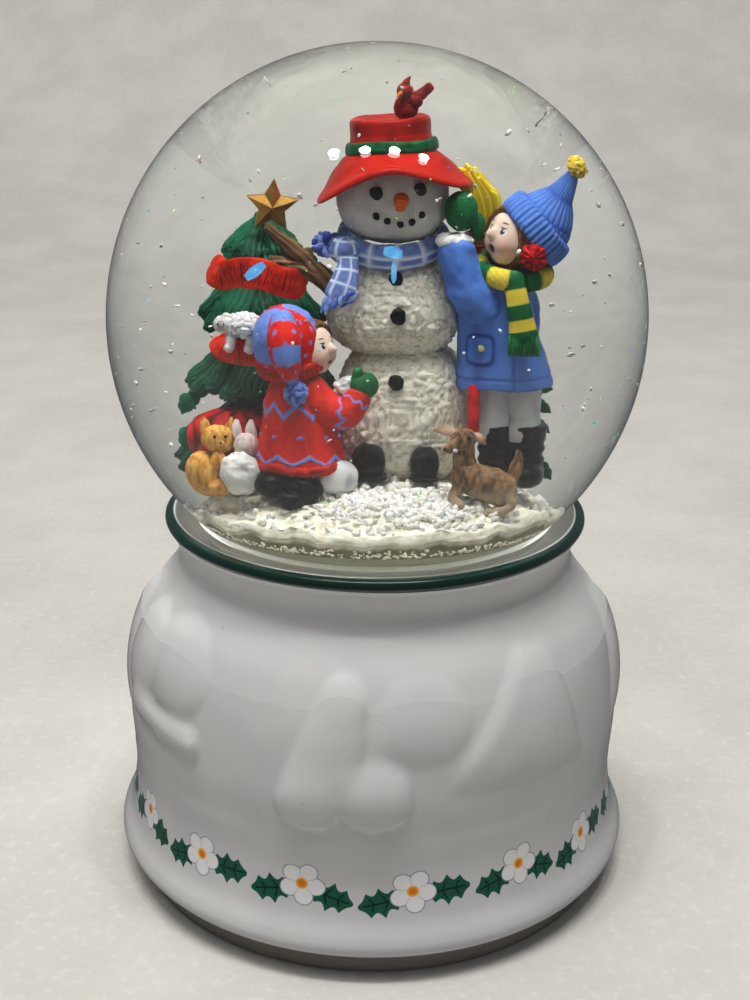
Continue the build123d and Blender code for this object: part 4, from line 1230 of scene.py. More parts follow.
def face(centre, forward, radius, open_mouth):
    """Radius = ball + nose + cheeks + chin + lips - eye hollows; colour = skin, blush, lips, eyes, brows."""
    d = directions(120, 150)
    nose = spot(d, 0, -2, 8) + 0.5 * spot(d, 0, 6, 7)
    cheeks = spot(d, 33, -22, 20) + spot(d, -33, -22, 20)
    chin = spot(d, 0, -52, 14)
    hollows = spot(d, 22, 10, 11) + spot(d, -22, 10, 11)
    lips = spot(d, 0, -23, 10)
    mouth = oval(d, 0, -27, 9, 6.5 * open_mouth + 2.2)
    swell = 0.24 * nose + 0.10 * cheeks + 0.10 * chin - 0.05 * hollows + 0.09 * lips
    swell -= 0.10 * mouth * open_mouth + 0.10 * np.abs(d[..., 1]) ** 2
    skin_tone = blend(rgb(234, 208, 190), rgb(214, 150, 128), 0.75 * np.clip(cheeks, 0, 1) + 0.25 * nose)
    colour = blend(skin_tone, rgb(188, 60, 58), np.clip(spot(d, 0, -27, 9.5) * 1.3, 0, 1) ** 2 * 0.7)
    colour = blend(colour, rgb(120, 20, 30), mouth)
    for side in (21, -21):
        colour = blend(colour, rgb(236, 232, 226), oval(d, side, 9, 8.2, 7.2))
        colour = blend(colour, rgb(28, 18, 16), oval(d, side * 0.93, 8.5, 5.2, 6.2))
        colour = blend(colour, rgb(250, 250, 250), oval(d, side * 0.93 + 2, 11, 1.6, 1.6))
        colour = blend(colour, rgb(30, 18, 12), oval(d, side, 16.5, 8.6, 1.5))
        colour = blend(colour, rgb(96, 60, 34), oval(d, side * 1.05, 26, 8.5, 1.7))
    points = np.asarray(centre) + (d * (radius * (1 + swell))[..., None]) @ head_axes(forward)
    return skin(points, colour)


def hair(centre, forward, radius, opening, seed):
    """Strands over the head: the ball grown by 12 percent, with grooves, but sunk under the face."""
    d = directions(100, 150)
    clear_face = np.degrees(np.arccos(np.clip(d @ np.array([0.98, 0, -0.2]), -1, 1)))
    cover = step(clear_face, opening, opening + 9)
    turn = np.arctan2(d[..., 1], d[..., 0])
    strands = np.sin(turn * 21 + 3 * noise(d * 3, 1.0, seed)) * 0.5 + noise(d * 14, 1.0, seed)
    r = radius * (0.86 + (0.26 + 0.035 * strands) * cover)
    # Painted shade: the grooves between strands are dark brown.
    colour = blend(rgb(66, 40, 22), rgb(134, 92, 52), 0.45 + 0.4 * strands)
    return skin(np.asarray(centre) + (d * r[..., None]) @ head_axes(forward), colour)


def pompom(centre, radius, colours, seed):
    """A ball of yarn ends: noise small and strong, painted lighter at the tips and darker in the hollows, as
    light and shade.
    """
    rings = ball(centre, (radius,) * 3, 60, 80)
    rough = layered(rings, 0.55, 3, seed)
    return skin(push(rings, 0.16 * radius * rough), blend(*colours, step(rough, -0.8, 0.8)))


# %% [markdown]
# ## Knitted hats
# A hat here is a turned outline on a slanted axis. The knit is geometry: columns of stitches are
# abs(sin) of the angle, and each row shifts by half a stitch, which makes the basket look of a rib.

# %% Hats, cuffs, sleeves


def on_axis(rings, foot, axis):
    """Carry rings made round the upright axis onto a slanted one that starts at 'foot'."""
    k = np.array(axis, float) / np.linalg.norm(axis)
    side = np.cross((0, 1, 0), k)
    side /= np.linalg.norm(side)
    return np.asarray(foot) + rings @ np.stack([side, np.cross(k, side), k])


def knit(rings, columns, courses, height):
    """Push stitches out of a turned form and return the stitch relief, which is used to paint the gaps
    between stitches darker as shade.
    """
    along, turn = grid(rings)
    course = np.floor(along * courses)
    ribs = np.abs(np.sin(turn * columns / 2 + course * np.pi / 2)) ** 0.6
    gaps = np.abs(np.sin(along * courses * np.pi)) ** 0.5
    relief = ribs * gaps
    return push(rings, height * relief), relief


STAND_HEAD = (19.4, -3.6, 122.0)
STAND_LOOK = (-0.74, -0.62, 0.26)
COAT_BLUE = rgb(82, 124, 206)
COAT_DARK = rgb(40, 72, 156)
KNEEL_HEAD = (-9.7, -10.6, 107.2)
KNEEL_LOOK = (0.82, -0.56, 0.10)
CHILD_RED = rgb(204, 34, 20)
CHILD_DARK = rgb(134, 12, 12)
STRIPE_BLUE = rgb(108, 138, 214)


def blue_hat():
    """Rolled ribbed edge, then a cone that ends under its pompom."""
    cone = stem([(22.3, -3.0, 123.3), (24.0, -2.8, 125.3), (25.8, -2.5, 127.9), (28.0, -2.1, 131.2)],
                [4.6, 4.5, 3.2, 1.7, 0.8], 110, 190, up=(0, 1, 0))
    cone, relief = knit(cone, 26, 3, 0.2)
    roll = turned([(4.1, 0.2), (4.6, -1.1), (5.1, -1.3), (5.5, -0.7), (5.5, 1.0), (5.2, 2.0), (4.6, 2.1),
                   (4.1, 1.4)], 60, 220)
    roll, ribs = knit(roll, 40, 1, 0.26)
    roll = on_axis(roll, (22.0, -3.0, 123.0), (0.76, 0.2, 0.62))
    # Painted shade: the knit is dark blue in the gaps between stitches.
    return [skin(form, blend(COAT_DARK, rgb(92, 136, 216), shade)) for form,
            shade in ((cone, relief), (roll, ribs))] + [
        pompom((28.9, -2.0, 132.6), 1.7, (rgb(196, 150, 20), rgb(250, 226, 84)), 100)]


def red_hat():
    """Domed cap in red bands and blue panels with dots, its tail hanging to a blue pompom."""
    dome = turned([(4.5, -2.6), (4.95, -1.2), (5.0, 0.4), (4.7, 2.2), (3.8, 4.0), (2.4, 5.2), (1.0, 5.75),
                   (0.05, 5.85)], 90, 160)
    dome = on_axis(dome, (-12.9, -10.9, 107.9), (-0.16, -0.26, 0.95))
    along, turn = grid(dome)

    def panels(along, turn, dots):
        band = np.sin(turn * 2.0 + 0.6)
        blue = step(band, -0.1, -0.03) * step(along, 0.16, 0.18) * (1 - step(along, 0.92, 0.94))
        dot = step(np.cos(turn * dots) * np.cos(along * 26), 0.72, 0.8) * (1 - blue)
        return blend(blend(CHILD_RED, STRIPE_BLUE, blue), STRIPE_BLUE, dot), blue

    colour, blue = panels(along, turn, 12)
    dome = push(dome, 0.08 * layered(dome, 0.9, 3, 101) - 0.06 * blue)
    tail = stem([(-13.6, -13.2, 111.3), (-13.4, -15.9, 109.0), (-12.9, -16.5, 106.0),
                 (-12.1, -15.9, 103.4)], [2.6, 3.1, 2.5, 1.1], 60, 60, 0.8, (1, 0, 0))
    along, turn = grid(tail)
    blue = step(np.sin(along * 15), 0.0, 0.1) * step(np.cos(turn - 1.2), -0.6, -0.5)
    tail = push(tail, 0.08 * layered(tail, 0.9, 3, 102) - 0.05 * blue)
    dot = step(np.cos(turn * 5) * np.cos(along * 30), 0.75, 0.85) * (1 - blue)
    brim = turned([(4.4, -3.4), (5.1, -3.5), (5.35, -2.8), (5.25, -2.0), (4.8, -1.7), (4.4, -2.1)], 40, 180)
    brim, ribs = knit(on_axis(brim, (-12.6, -10.7, 107.9), (-0.2, -0.24, 0.95)), 40, 2, 0.16)
    # Painted shade: the brim is dark red in the gaps between its ribs.
    return [skin(dome, colour), skin(tail, blend(blend(CHILD_RED, STRIPE_BLUE, blue), STRIPE_BLUE, dot)),
            skin(brim, blend(CHILD_DARK, CHILD_RED, ribs)),
            pompom((-11.7, -15.9, 101.7), 1.75, (rgb(60, 84, 170), rgb(128, 158, 226)), 103)]


def earmuff():
    """A fluffy red disc over the ear: a squashed ball with petals of fur."""
    rings = ball((22.3, -8.0, 120.4), (1.95, 1.1, 2.05), 60, 90)
    turn = np.arctan2(rings[..., 2] - 120.4, rings[..., 0] - 22.3)
    fluff = layered(rings, 0.7, 3, 105) + 0.5 * np.sin(turn * 11)
    # Painted light and shade: the fur is dark red in its hollows and bright red on its tips.
    return skin(push(rings, 0.2 * fluff), blend(rgb(120, 8, 12), rgb(206, 28, 28), step(fluff, -1, 1)))


def folds(rings, height, seed, drop=0.25):
    """Soft folds of thick cloth: long noise stretched downwards; the depth is returned so that the hollows
    can be painted darker as shade.
    """
    stretched = rings * (1.0, 1.0, drop)
    deep = layered(stretched, 2.6, 2, seed)
    return push(rings, height * deep + 0.04 * layered(rings, 0.6, 2, seed + 3)), deep


def lofted(levels, count, ring):
    """Rings at given levels: (x, y, z, half width, half depth) filled in smoothly, each a squared oval."""
    p = np.array(levels, float)
    at = curve(p[:, :3], count)
    half = np.stack([spaced(p[:, n], count) for n in (3, 4)], -1)
    a = around(ring)[0]
    unit = np.stack([np.cos(a), np.sin(a)], -1)
    flat = half[:, None] * np.sign(unit) * np.abs(unit) ** 0.9
    return np.concatenate([at[:, None, :2] + flat, np.repeat(at[:, None, 2:], ring, 1)], -1)


# %% Standing child


def blue_coat():
    """Flared coat with a hem, a patch pocket, a button seam and the raised sleeve."""
    coat = lofted([(18.1, -3.0, 100.9, 5.6, 4.0), (18.0, -3.0, 100.7, 6.7, 5.0),
                   (17.9, -3.0, 101.5, 6.95, 5.2),
                   (17.6, -3.0, 104.5, 6.3, 5.0), (17.0, -3.1, 108.5, 5.7, 4.8),
                   (16.5, -3.2, 112.0, 5.3, 4.5),
                   (16.9, -3.3, 115.0, 4.4, 3.9), (17.6, -3.4, 117.2, 3.0, 2.9),
                   (17.9, -3.4, 118.2, 1.2, 1.2)], 150, 170)
    coat, deep = folds(coat, 0.34, 110)
    x, z = coat[..., 0], coat[..., 2]
    front = coat[..., 1] < -3
    seam = bump(x, 19.6, 0.22) * front * (z < 112)
    box = (np.abs((x - 14.7) / 1.95) ** 4 + np.abs((z - 106.6) / 2.1) ** 4) ** 0.25
    pocket = (1 - step(box, 0.9, 1.0)) * front
    edge = bump(box, 1.0, 0.12) * front
    hem = bump(z, 102.3, 0.22)
    coat = push(coat, 0.28 * pocket - 0.22 * edge - 0.2 * seam - 0.12 * hem)
    # Painted lines and shade: darker along the seam, the hem and the pocket's edge, partly their own dark
    # lines and partly shade in these grooves, and darker in the fold hollows as shade.
    dark = np.clip(0.9 * edge + 0.6 * seam + 0.5 * hem + step(-deep, 0.1, 1.2) * 0.6, 0, 1)
    sleeve = stem([(17.0, -4.0, 112.0), (14.4, -5.6, 113.6), (12.4, -6.2, 116.3), (11.3, -6.1, 119.4),
                   (11.1, -5.8, 121.0)], [3.6, 3.5, 3.1, 2.7, 2.6], 80, 70, up=(0, 1, 0))
    sleeve, creases = folds(sleeve, 0.3, 113, 1.0)
    back_sleeve, back_deep = folds(stem([(19.6, -2.2, 114.0), (20.6, -0.6, 111.0), (20.9, -1.0, 107.8)],
                                        [2.4, 2.2, 1.9], 50, 50, up=(0, 1, 0)), 0.2, 115, 1.0)
    # Painted shade: the sleeves are darker in their crease hollows.
    return [skin(coat, blend(COAT_BLUE, COAT_DARK, dark)),
            skin(sleeve, blend(COAT_BLUE, COAT_DARK, step(-creases, 0.1, 1.2) * 0.6)),
            skin(back_sleeve, blend(COAT_BLUE, COAT_DARK, step(-back_deep, 0.1, 1.2) * 0.6)),
            bead((14.9, -7.75, 106.9), (0.5, 0.3, 0.5), 12, 18, rgb(214, 206, 140))]


def stripes(along, count, ribs):
    """Even yellow and green stripes along a scarf, with soft borders, and painted shade between the ribs."""
    colour = blend(rgb(236, 214, 74), rgb(20, 98, 52), step(np.sin(along * count), -0.12, 0.12))
    return colour * (0.75 + 0.25 * ribs)[..., None]


def striped_scarf():
    """Yellow and green: a wrap under the chin, then a tail with a fringe."""
    t = np.linspace(0.2, 2 * np.pi - 0.2, 90) - 1.2
    wrap = tube(np.stack([19.0 + 4.6 * np.cos(t), -3.5 + 4.1 * np.sin(t),
                          117.2 - 0.5 * np.cos(t) + 0.5 * np.sin(t)], -1),
                1.25, 40, 1.15)
    along = grid(wrap)[0]
    wrap, ribs = knit(wrap, 10, 60, 0.12)
    parts = [skin(wrap, stripes(along, 34, ribs))]
    tail = stem([(19.4, -8.0, 117.2), (20.0, -8.6, 114.2), (20.6, -8.8, 111.2), (21.0, -8.9, 108.9)],
                [1.5, 1.55, 1.8, 2.1], 70, 50, 0.42, (0, -1, 0.1))
    along = grid(tail)[0]
    tail, ribs = knit(tail, 12, 40, 0.1)
    parts.append(skin(tail, stripes(along, 15, ribs)))
    for n in range(13):
        x = 19.2 + n * 0.29
        parts.append(tuft((x, -8.9 - 0.3 * (n % 2), 109.4),
                          (x + 0.08 * (n - 6) + 0.2, -9.3 - 0.3 * (n % 2), 106.2), 0.36, n,
                          (rgb(14, 84, 44), rgb(52, 132, 70))))
    return parts


def mitten(palm, palm_size, thumb, thumb_size, seed):
    """Palm and thumb as two soft forms with a knitted surface."""
    parts = []
    for centre, radii in ((palm, palm_size), (thumb, thumb_size)):
        rings = ball(centre, radii, 50, 60)
        rings, relief = knit(rings, 26, 18, 0.07)
        rings = dent(rings, 0.08, 1.4, 2, seed)
        # Painted shade: the gaps between stitches are dark green.
        parts.append(skin(rings, blend(rgb(8, 62, 34), rgb(28, 112, 62), relief)))
    return parts


def raised_mitten():
    """The mitten against the hat, with a pale fur cuff under it."""
    parts = mitten((11.7, -4.6, 125.9), (2.35, 1.8, 2.8), (14.0, -3.8, 123.6), (1.1, 1.1, 1.9), 120)
    return parts + [fur((10.9, -5.5, 121.9), (2.6, 2.2, 1.1), 121)]


def fur(centre, radii, seed):
    """A fur cuff: a squashed ball with strong small lumps, painted grey in the hollows between them as shade.
    """
    rings = ball(centre, radii, 40, 60)
    lumps = layered(rings, 0.8, 2, seed)
    return skin(push(rings, 0.26 * lumps), blend(rgb(176, 176, 178), rgb(240, 240, 238),
                                                 step(lumps, -0.7, 0.6)))


def trousers():
    """Two pale legs pressed together, creased above the boots."""
    parts = []
    for x in (16.6, 20.6):
        legs = lofted([(x, -3.3, 93.0, 2.4, 2.6), (x, -3.3, 95.0, 2.7, 2.9),
                       (x + 0.1, -3.2, 98.6, 2.5, 2.8),
                       (x + 0.2, -3.1, 102.0, 2.4, 2.7)], 60, 70)
        legs, deep = folds(legs, 0.16, 125 + int(x), 1.0)
        # Painted shade: the crease hollows are grey.
        parts.append(skin(legs, blend(rgb(206, 206, 206), rgb(166, 166, 172), step(-deep, 0.2, 1.2))))
    return parts


def tall_boots():
    """Black boots with a rolled top and folded ankles."""
    parts = []
    for x, turned_out in ((17.0, -0.3), (21.3, 0.4)):
        shaft = lofted([(x, -3.6, 87.4, 2.3, 2.8), (x, -3.6, 89.0, 2.5, 2.9), (x, -3.3, 91.6, 2.5, 2.7),
                        (x, -3.2, 94.2, 2.9, 3.0), (x, -3.2, 95.1, 2.9, 3.1), (x, -3.2, 95.3, 2.0, 2.2)],
                       60, 70)
        wrinkles = 0.14 * np.sin(shaft[..., 2] * 4.2 + np.sin(shaft[..., 0] * 2)) * (shaft[..., 2] < 93)
        shaft = push(shaft, wrinkles + 0.06 * layered(shaft, 0.8, 2, 130))
        toe = ball((x + turned_out, -6.0, 88.2), (2.4, 3.4, 1.9), 40, 60, 0.9)
        parts += [skin(shaft, COAL), skin(dent(toe, 0.05, 0.9, 2, 131), COAL)]
    return parts


piece("standing_face", face(STAND_HEAD, STAND_LOOK, 4.2, 0.9), FACE_PAINT, "standing_child_head")
piece("standing_hair", hair(STAND_HEAD, STAND_LOOK, 4.3, 56, 140), HAND_PAINT, None)
piece("standing_cap", blue_hat(), WOOL_PAINT, "standing_child_hat")
piece("ear_muff", earmuff(), WOOL_PAINT, "standing_child_earmuff")
piece("standing_coat", blue_coat(), HAND_PAINT, "standing_child_coat")
piece("standing_scarf", striped_scarf(), WOOL_PAINT, "standing_child_scarf")
piece("standing_mitten", raised_mitten(), WOOL_PAINT, "standing_child_mitten")
piece("standing_legs", trousers(), HAND_PAINT, "standing_child_trousers")
piece("standing_boots", tall_boots(), GLOSS_PAINT, "standing_child_boots")

# %% Kneeling child


def zigzag(turn, along, level, teeth, width):
    """A painted zigzag: a triangle wave round the coat, drawn where the height is near it."""
    wave = np.abs((turn / (2 * np.pi) * teeth) % 1 - 0.5) * 2
    return 1 - step(np.abs(along - level - wave * 0.075), width * 0.6, width)


def red_coat():
    """Flared knitted coat with two blue zigzags and dots, a rolled hem, and the bent arm."""
    coat = lofted([(-10.9, -11.5, 90.0, 4.9, 4.0), (-10.8, -11.5, 89.4, 6.2, 5.2),
                   (-10.8, -11.5, 90.3, 6.75, 5.7),
                   (-11.0, -11.4, 92.5, 6.35, 5.4), (-11.2, -11.2, 96.5, 5.3, 4.7),
                   (-11.5, -11.0, 100.2, 4.5, 4.0),
                   (-11.7, -10.8, 103.2, 3.3, 3.2), (-11.4, -10.7, 104.8, 2.2, 2.2)], 150, 180)
    along, turn = grid(coat)
    coat, deep = folds(coat, 0.22, 150)
    drawn = np.maximum(zigzag(turn, along, 0.34, 9, 0.02), zigzag(turn, along, 0.62, 8, 0.02))
    dot = step(np.cos(turn * 9 + 1.5) * bump(along, 0.52, 0.02), 0.75, 0.85)
    stitches = np.sin(turn * 60) * 0.5 + noise(coat * (1, 1, 0.4), 0.4, 151)
    coat = push(coat, 0.12 * np.maximum(drawn, dot) + 0.03 * stitches)
    # Painted shade: the fold hollows are dark red; the stitches add a random darker tone.
    colour = blend(CHILD_RED, CHILD_DARK, step(-deep, 0.0, 1.2) * 0.6 + 0.12 * stitches)
    t = np.linspace(0, 6.4, 90)
    hem = tube(np.stack([-10.8 + 6.5 * np.cos(t), -11.5 + 5.5 * np.sin(t), 90.2 + 0.35 * np.sin(t * 5)],
                        -1), 0.75)
    hem = dent(hem, 0.16, 0.6, 2, 152)
    sleeve = stem([(-9.6, -12.0, 101.4), (-7.2, -13.2, 98.9), (-4.6, -13.6, 98.4), (-3.2, -13.3, 99.8),
                   (-2.6, -12.9, 101.0)], [2.6, 2.6, 2.3, 2.1, 2.0], 70, 60, up=(0, 1, 0))
    sleeve, creases = folds(sleeve, 0.2, 153, 1.0)
    s_along, s_turn = grid(sleeve)
    bands = np.maximum(zigzag(s_turn, s_along, 0.42, 7, 0.025), zigzag(s_turn, s_along, 0.72, 7, 0.025))
    # Painted shade: the sleeve is darker in its crease hollows.
    sleeve_colour = blend(blend(CHILD_RED, CHILD_DARK, step(-creases, 0.0, 1.2) * 0.6), STRIPE_BLUE, bands)
    # Painted shade: the hem is dark red in its dents.
    return [skin(coat, blend(colour, STRIPE_BLUE, np.maximum(drawn, dot))), skin(sleeve, sleeve_colour),
            skin(hem, blend(CHILD_DARK, CHILD_RED, 0.5 + 0.5 * layered(hem, 0.6, 2, 152))),
            fur((-4.4, -12.6, 102.3), (1.7, 1.4, 1.3), 154)]


def kneeling_legs():
    """A pale bent knee in front and two black boots behind it."""
    knee = ball((-5.6, -13.6, 88.9), (3.0, 2.7, 2.7), 50, 60)
    knee, deep = folds(knee, 0.2, 156, 1.0)
    # Painted shade: the knee is grey in its crease hollows.
    parts = [skin(knee, blend(rgb(232, 232, 232), rgb(186, 186, 192), step(-deep, 0.2, 1.2)))]
    for centre, radii in (((-14.9, -14.6, 87.6), (2.9, 2.6, 2.1)), ((-10.6, -15.6, 86.9), (3.0, 2.7, 2.4)),
                          ((-12.6, -17.6, 85.6), (2.3, 2.3, 1.7))):
        lump = ball(centre, radii, 46, 60, 0.9)
        parts.append(skin(dent(lump, 0.10, 1.1, 3, 157), COAL))
    return parts


piece("kneeling_face", face(KNEEL_HEAD, KNEEL_LOOK, 3.75, 0.25), FACE_PAINT, "kneeling_child_head")
piece("kneeling_hair", hair(KNEEL_HEAD, KNEEL_LOOK, 3.8, 62, 160), HAND_PAINT, None)
piece("kneeling_cap", red_hat(), WOOL_PAINT, "kneeling_child_hat")
piece("kneeling_coat", red_coat(), WOOL_PAINT, "kneeling_child_coat")
piece("kneeling_mitten", mitten((-1.9, -13.0, 102.4), (2.15, 1.7, 1.9), (-2.7, -13.4, 103.9),
                                (0.8, 0.8, 1.2), 162),
      WOOL_PAINT, "kneeling_child_mitten")
piece("kneeling_boots", kneeling_legs(), GLOSS_PAINT, "kneeling_child_legs")

# %% [markdown]
# ## The tree
# The fir is a cone of drooping boughs in four tiers. One bough is a flattened tube whose path falls
# away from the trunk, with needles as grooves along it. A loop sets about a hundred of them round
# the trunk, each turned, drooped and coloured a little differently.

# %% Boughs
TREE_FOOT = np.array([-16.0, 3.2])
TIERS = [(122.9, 117.0, 5.3, 18), (118.4, 108.4, 8.4, 28), (109.6, 99.0, 10.0, 36), (100.4, 88.5, 10.8, 38)]


def bough(turn, top, low, reach, seed):
    """A drooping tongue: path from the trunk outwards and down, flattened, with grooves sin(9 a)."""
    away = np.array([math.cos(turn), math.sin(turn)])
    drop = top - low

    def at(out, down):
        return (*(TREE_FOOT + away * out), top - down)

    rings = stem([at(reach * 0.08, 0.0), at(reach * 0.36, drop * 0.36), at(reach * 0.66, drop * 0.72),
                  at(reach * 0.92, drop * 0.94), at(reach * 1.02, drop * 0.98)], [0.7, 1.3, 1.7, 1.4, 0.3],
                 26, 30, 0.62, (away[0], away[1], 0.8))
    along, around_it = grid(rings)
    needles = np.abs(np.sin(around_it * 5 + 2.5 * np.sin(along * 6 + seed)))
    rings = push(rings, 0.5 * needles + 0.2 * layered(rings, 0.9, 2, seed) - 0.2)
    # Painted light and shade: the needle ridges are pale blue-green highlights and the grooves dark; each
    # bough also has its own tone.
    return skin(rings, blend(rgb(4, 30, 22), rgb(34, 112, 78),
                             needles ** 1.4 * 0.85 + 0.15 * math.sin(seed)))


def tree():
    """Core cones and four tiers of boughs, two layers to a tier."""
    parts = []
    for top, low, reach, count in TIERS:
        core = ball((*TREE_FOOT, (top + 2 * low) / 3), (reach * 0.6, reach * 0.6, (top - low) * 0.55), 30,
                    40)
        parts.append(skin(dent(core, 0.3, 1.5, 2, int(top)), rgb(8, 44, 32)))
        for n in range(count):
            seed = int(top) * 7 + n
            wander = math.sin(seed * 1.7)
            turn = 2 * math.pi * (n + 0.3 * wander) / count
            shift = 0.6 * (n % 2)
            parts.append(bough(turn, top - shift, low + 0.8 * wander + 1.6 * shift,
                               reach * (1 - 0.12 * (n % 2)), seed))
    return parts


piece("fir_tree", tree(), LEAF_PAINT, "tree")

# %% [markdown]
# ## Star, ribbons and leaves
# The star is two five-sided pyramids back to back. Rings shrink from the outline to a raised middle,
# so the ridges and valleys come by themselves. Flat shading keeps its facets crisp.

# %% Star


def star(centre, reach, deep, lean):
    """Outline radius is the straight edge between tip and notch in polar form; height is deep * (1 - s)."""
    ring = 120
    s = np.concatenate([np.linspace(0.04, 1, 22), np.linspace(1, 0.04, 22)])[:, None]
    face_side = np.concatenate([np.ones(22), -np.ones(22)])[:, None]
    a = around(ring)
    fold = np.abs((a / (2 * np.pi) * 5) % 1 - 0.5) * 2
    tip, notch, half = reach, reach * 0.5, math.pi / 5
    t = fold * half
    x0, y0, x1, y1 = tip, 0.0, notch * math.cos(half), notch * math.sin(half)
    radius = (x0 * y1 - x1 * y0) / (np.cos(t) * (y1 - y0) - np.sin(t) * (x1 - x0))
    r = s * radius
    rings = np.stack([r * np.sin(a + math.pi / 5), -face_side * deep * (1 - s) - 0.28 * face_side + 0 * a,
                      r * np.cos(a + math.pi / 5)], -1)
    rings += 0.04 * layered(rings, 0.8, 2, 170)[..., None]
    return spin(rings + centre, (0, 1, 0), lean, centre)


def ribbon_band(points, high, seed):
    """A painted ribbon: a thin upright band along a path, rippled, with forked ends and a row of marks."""
    path = curve(points, 150)
    rings = tube(path, spaced([high * 0.5, high * 0.46, high * 0.5, high * 0.46, high * 0.5], 150), 40,
                 0.22, (0, -1, 0))
    along, turn = grid(rings)
    height = np.cos(turn)
    end = np.minimum(along, 1 - along)
    fork = bump(height, 0.0, 0.5) * (1 - step(end, 0.0, 0.05))
    middle = path[np.clip((along[:, 0] * 149).astype(int), 0, 149)][:, None]
    rings = middle + (rings - middle) * (1 - 0.3 * fork[..., None])
    rings = dent(rings, 0.06, 1.2, 2, seed)
    beat = (along * 19) % 1
    bars = bump(beat, 0.3, 0.1) * (np.abs(height) < 0.62)
    dots = (bump(beat, 0.75, 0.12) * bump(np.abs(height), 0.35, 0.22))
    marks = step(np.maximum(bars, dots), 0.45, 0.6) * step(end, 0.06, 0.07)
    red = blend(rgb(214, 44, 16), rgb(138, 14, 14), step(layered(rings, 1.6, 2, seed + 1), -0.2, 1.0) * 0.7)
    return skin(rings, blend(red, rgb(24, 6, 6), marks * 0.9))


def holly(points, width, seed):
    """A leaf: a flat tube whose half width swings in and out like a holly edge, painted darker along the
    middle as the shade of a crease at the rib, and lighter towards its edges.
    """
    path = curve(points, 40)
    s = np.linspace(0, 1, 40)
    half = width * np.sin(np.pi * (0.06 + 0.9 * s)) * (0.8 + 0.25 * np.abs(np.sin(s * 10)))
    rings = tube(path, half, 28, 0.18, (0, -1, 0.2))
    turn = grid(rings)[1]
    rings = dent(rings, 0.05, 0.9, 2, seed)
    return skin(rings, blend(rgb(6, 74, 50), rgb(24, 112, 78), np.abs(np.cos(turn)) * 0.8))


UPPER_RIBBON = [(-23.0, -1.6, 116.6), (-22.0, -3.6, 116.2), (-19.6, -5.6, 117.0), (-16.6, -6.5, 117.0),
                (-13.6, -6.5, 116.0),
                (-11.2, -5.6, 115.4)]
LOWER_RIBBON = [(-22.0, -3.4, 106.8), (-21.4, -5.2, 105.8), (-18.6, -7.2, 105.8), (-15.0, -7.9, 106.0),
                (-11.2, -7.2, 106.0)]
LEAVES = [([(21.4, 0.8, 99.2), (23.0, 1.0, 99.8), (24.6, 1.2, 99.5)], 1.0),
          ([(21.4, 1.0, 94.8), (22.9, 1.2, 94.4), (24.2, 1.2, 93.4)], 0.9),
          ([(21.6, 0.6, 89.2), (23.2, 0.8, 88.4), (24.4, 0.8, 87.0)], 1.1),
          ([(21.2, 2.0, 97.2), (22.8, 2.4, 97.0), (24.2, 2.6, 96.0)], 0.9),
          ([(-24.6, 0.4, 98.4), (-26.4, -0.4, 97.4), (-27.2, -0.8, 95.8)], 1.4),
          ([(-24.8, -0.6, 94.2), (-26.6, -1.4, 92.8), (-27.0, -1.8, 91.0)], 1.3)]
piece("gold_star", skin(star(np.array([-14.9, -0.6, 125.4]), 3.9, 1.3, 4), rgb(200, 150, 60)), GOLD,
      "tree_star",
      smooth=False)
piece("ribbons", [ribbon_band(UPPER_RIBBON, 4.6, 180), ribbon_band(LOWER_RIBBON, 3.8, 182)], HAND_PAINT,
      "ribbon_banners")
piece("holly_leaves", [holly(points, width, 190 + n) for n, (points, width) in enumerate(LEAVES)],
      GLOSS_PAINT,
      "holly_sprigs")

# %% [markdown]
# ## Toys and animals
# The lamb, cat, rabbit and fawn are each a few soft forms pushed into one another, as a sculptor
# would add pellets of clay. Fleece is round lumps, and fur is fine noise stretched along the body.

# %% Lamb, drape, cat, rabbit


def furry(rings, seed, pale, deep):
    """Fine strokes of fur, painted darker in the grooves between strokes as shade."""
    rings, strands = feathered(rings, seed, 0.1)
    return skin(rings, blend(deep, pale, step(strands, -0.9, 0.7)))


def lamb():
    """Fleecy body, head, ears and two legs."""
    body = ball((-19.0, -7.8, 109.9), (2.9, 2.3, 1.7), 70, 90)
    curls = np.abs(noise(body, 0.62, 200)) + 0.5 * np.abs(noise(body, 0.3, 201))
    body = push(body, 0.34 * curls)
    head = ball((-22.2, -8.6, 110.2), (1.35, 1.2, 1.2), 40, 48)
    # Painted shade: the fleece is grey between its curls.
    parts = [skin(body, blend(rgb(170, 172, 176), rgb(246, 246, 246), step(curls, 0.05, 0.7))),
             furry(head, 202, rgb(236, 234, 230), rgb(180, 178, 176))]
    for x, z in ((-20.8, 107.4), (-17.9, 107.2)):
        parts.append(furry(stem([(x, -8.4, 109.0), (x - 0.2, -8.9, z - 0.1), (x - 0.5, -9.2, z - 0.7)],
                                [0.9, 0.75, 0.7], 14, 20, up=(0, 1, 0)), 203, rgb(240, 240, 240),
                           rgb(180, 180, 184)))
    parts.append(furry(ball((-21.6, -8.2, 111.3), (0.9, 0.4, 0.4), 14, 18), 204, rgb(236, 230, 226),
                       rgb(196, 180, 176)))
    return parts + [bead((x, -9.7, 110.4), (0.16, 0.12, 0.16), 8, 10) for x in (-22.9, -22.0)]


def drape():
    """Red cloth spilled under the tree: a broad low form with deep folds."""
    rings = ball((-20.0, -3.6, 93.2), (6.4, 4.6, 3.9), 90, 120, 0.85)
    turn = angle_of(rings, (-20.0, -3.6))
    ripple = np.sin(turn * 9 + 2 * np.sin(rings[..., 2]))
    rings = push(rings, 0.42 * ripple * step(96.5 - rings[..., 2], 0, 3) + 0.2 * layered(rings, 1.4, 2,
                                                                                         206))
    # Painted shade: the fold hollows are dark red.
    return skin(rings, blend(rgb(196, 22, 20), rgb(96, 8, 14), step(-ripple, -0.2, 1.0)))


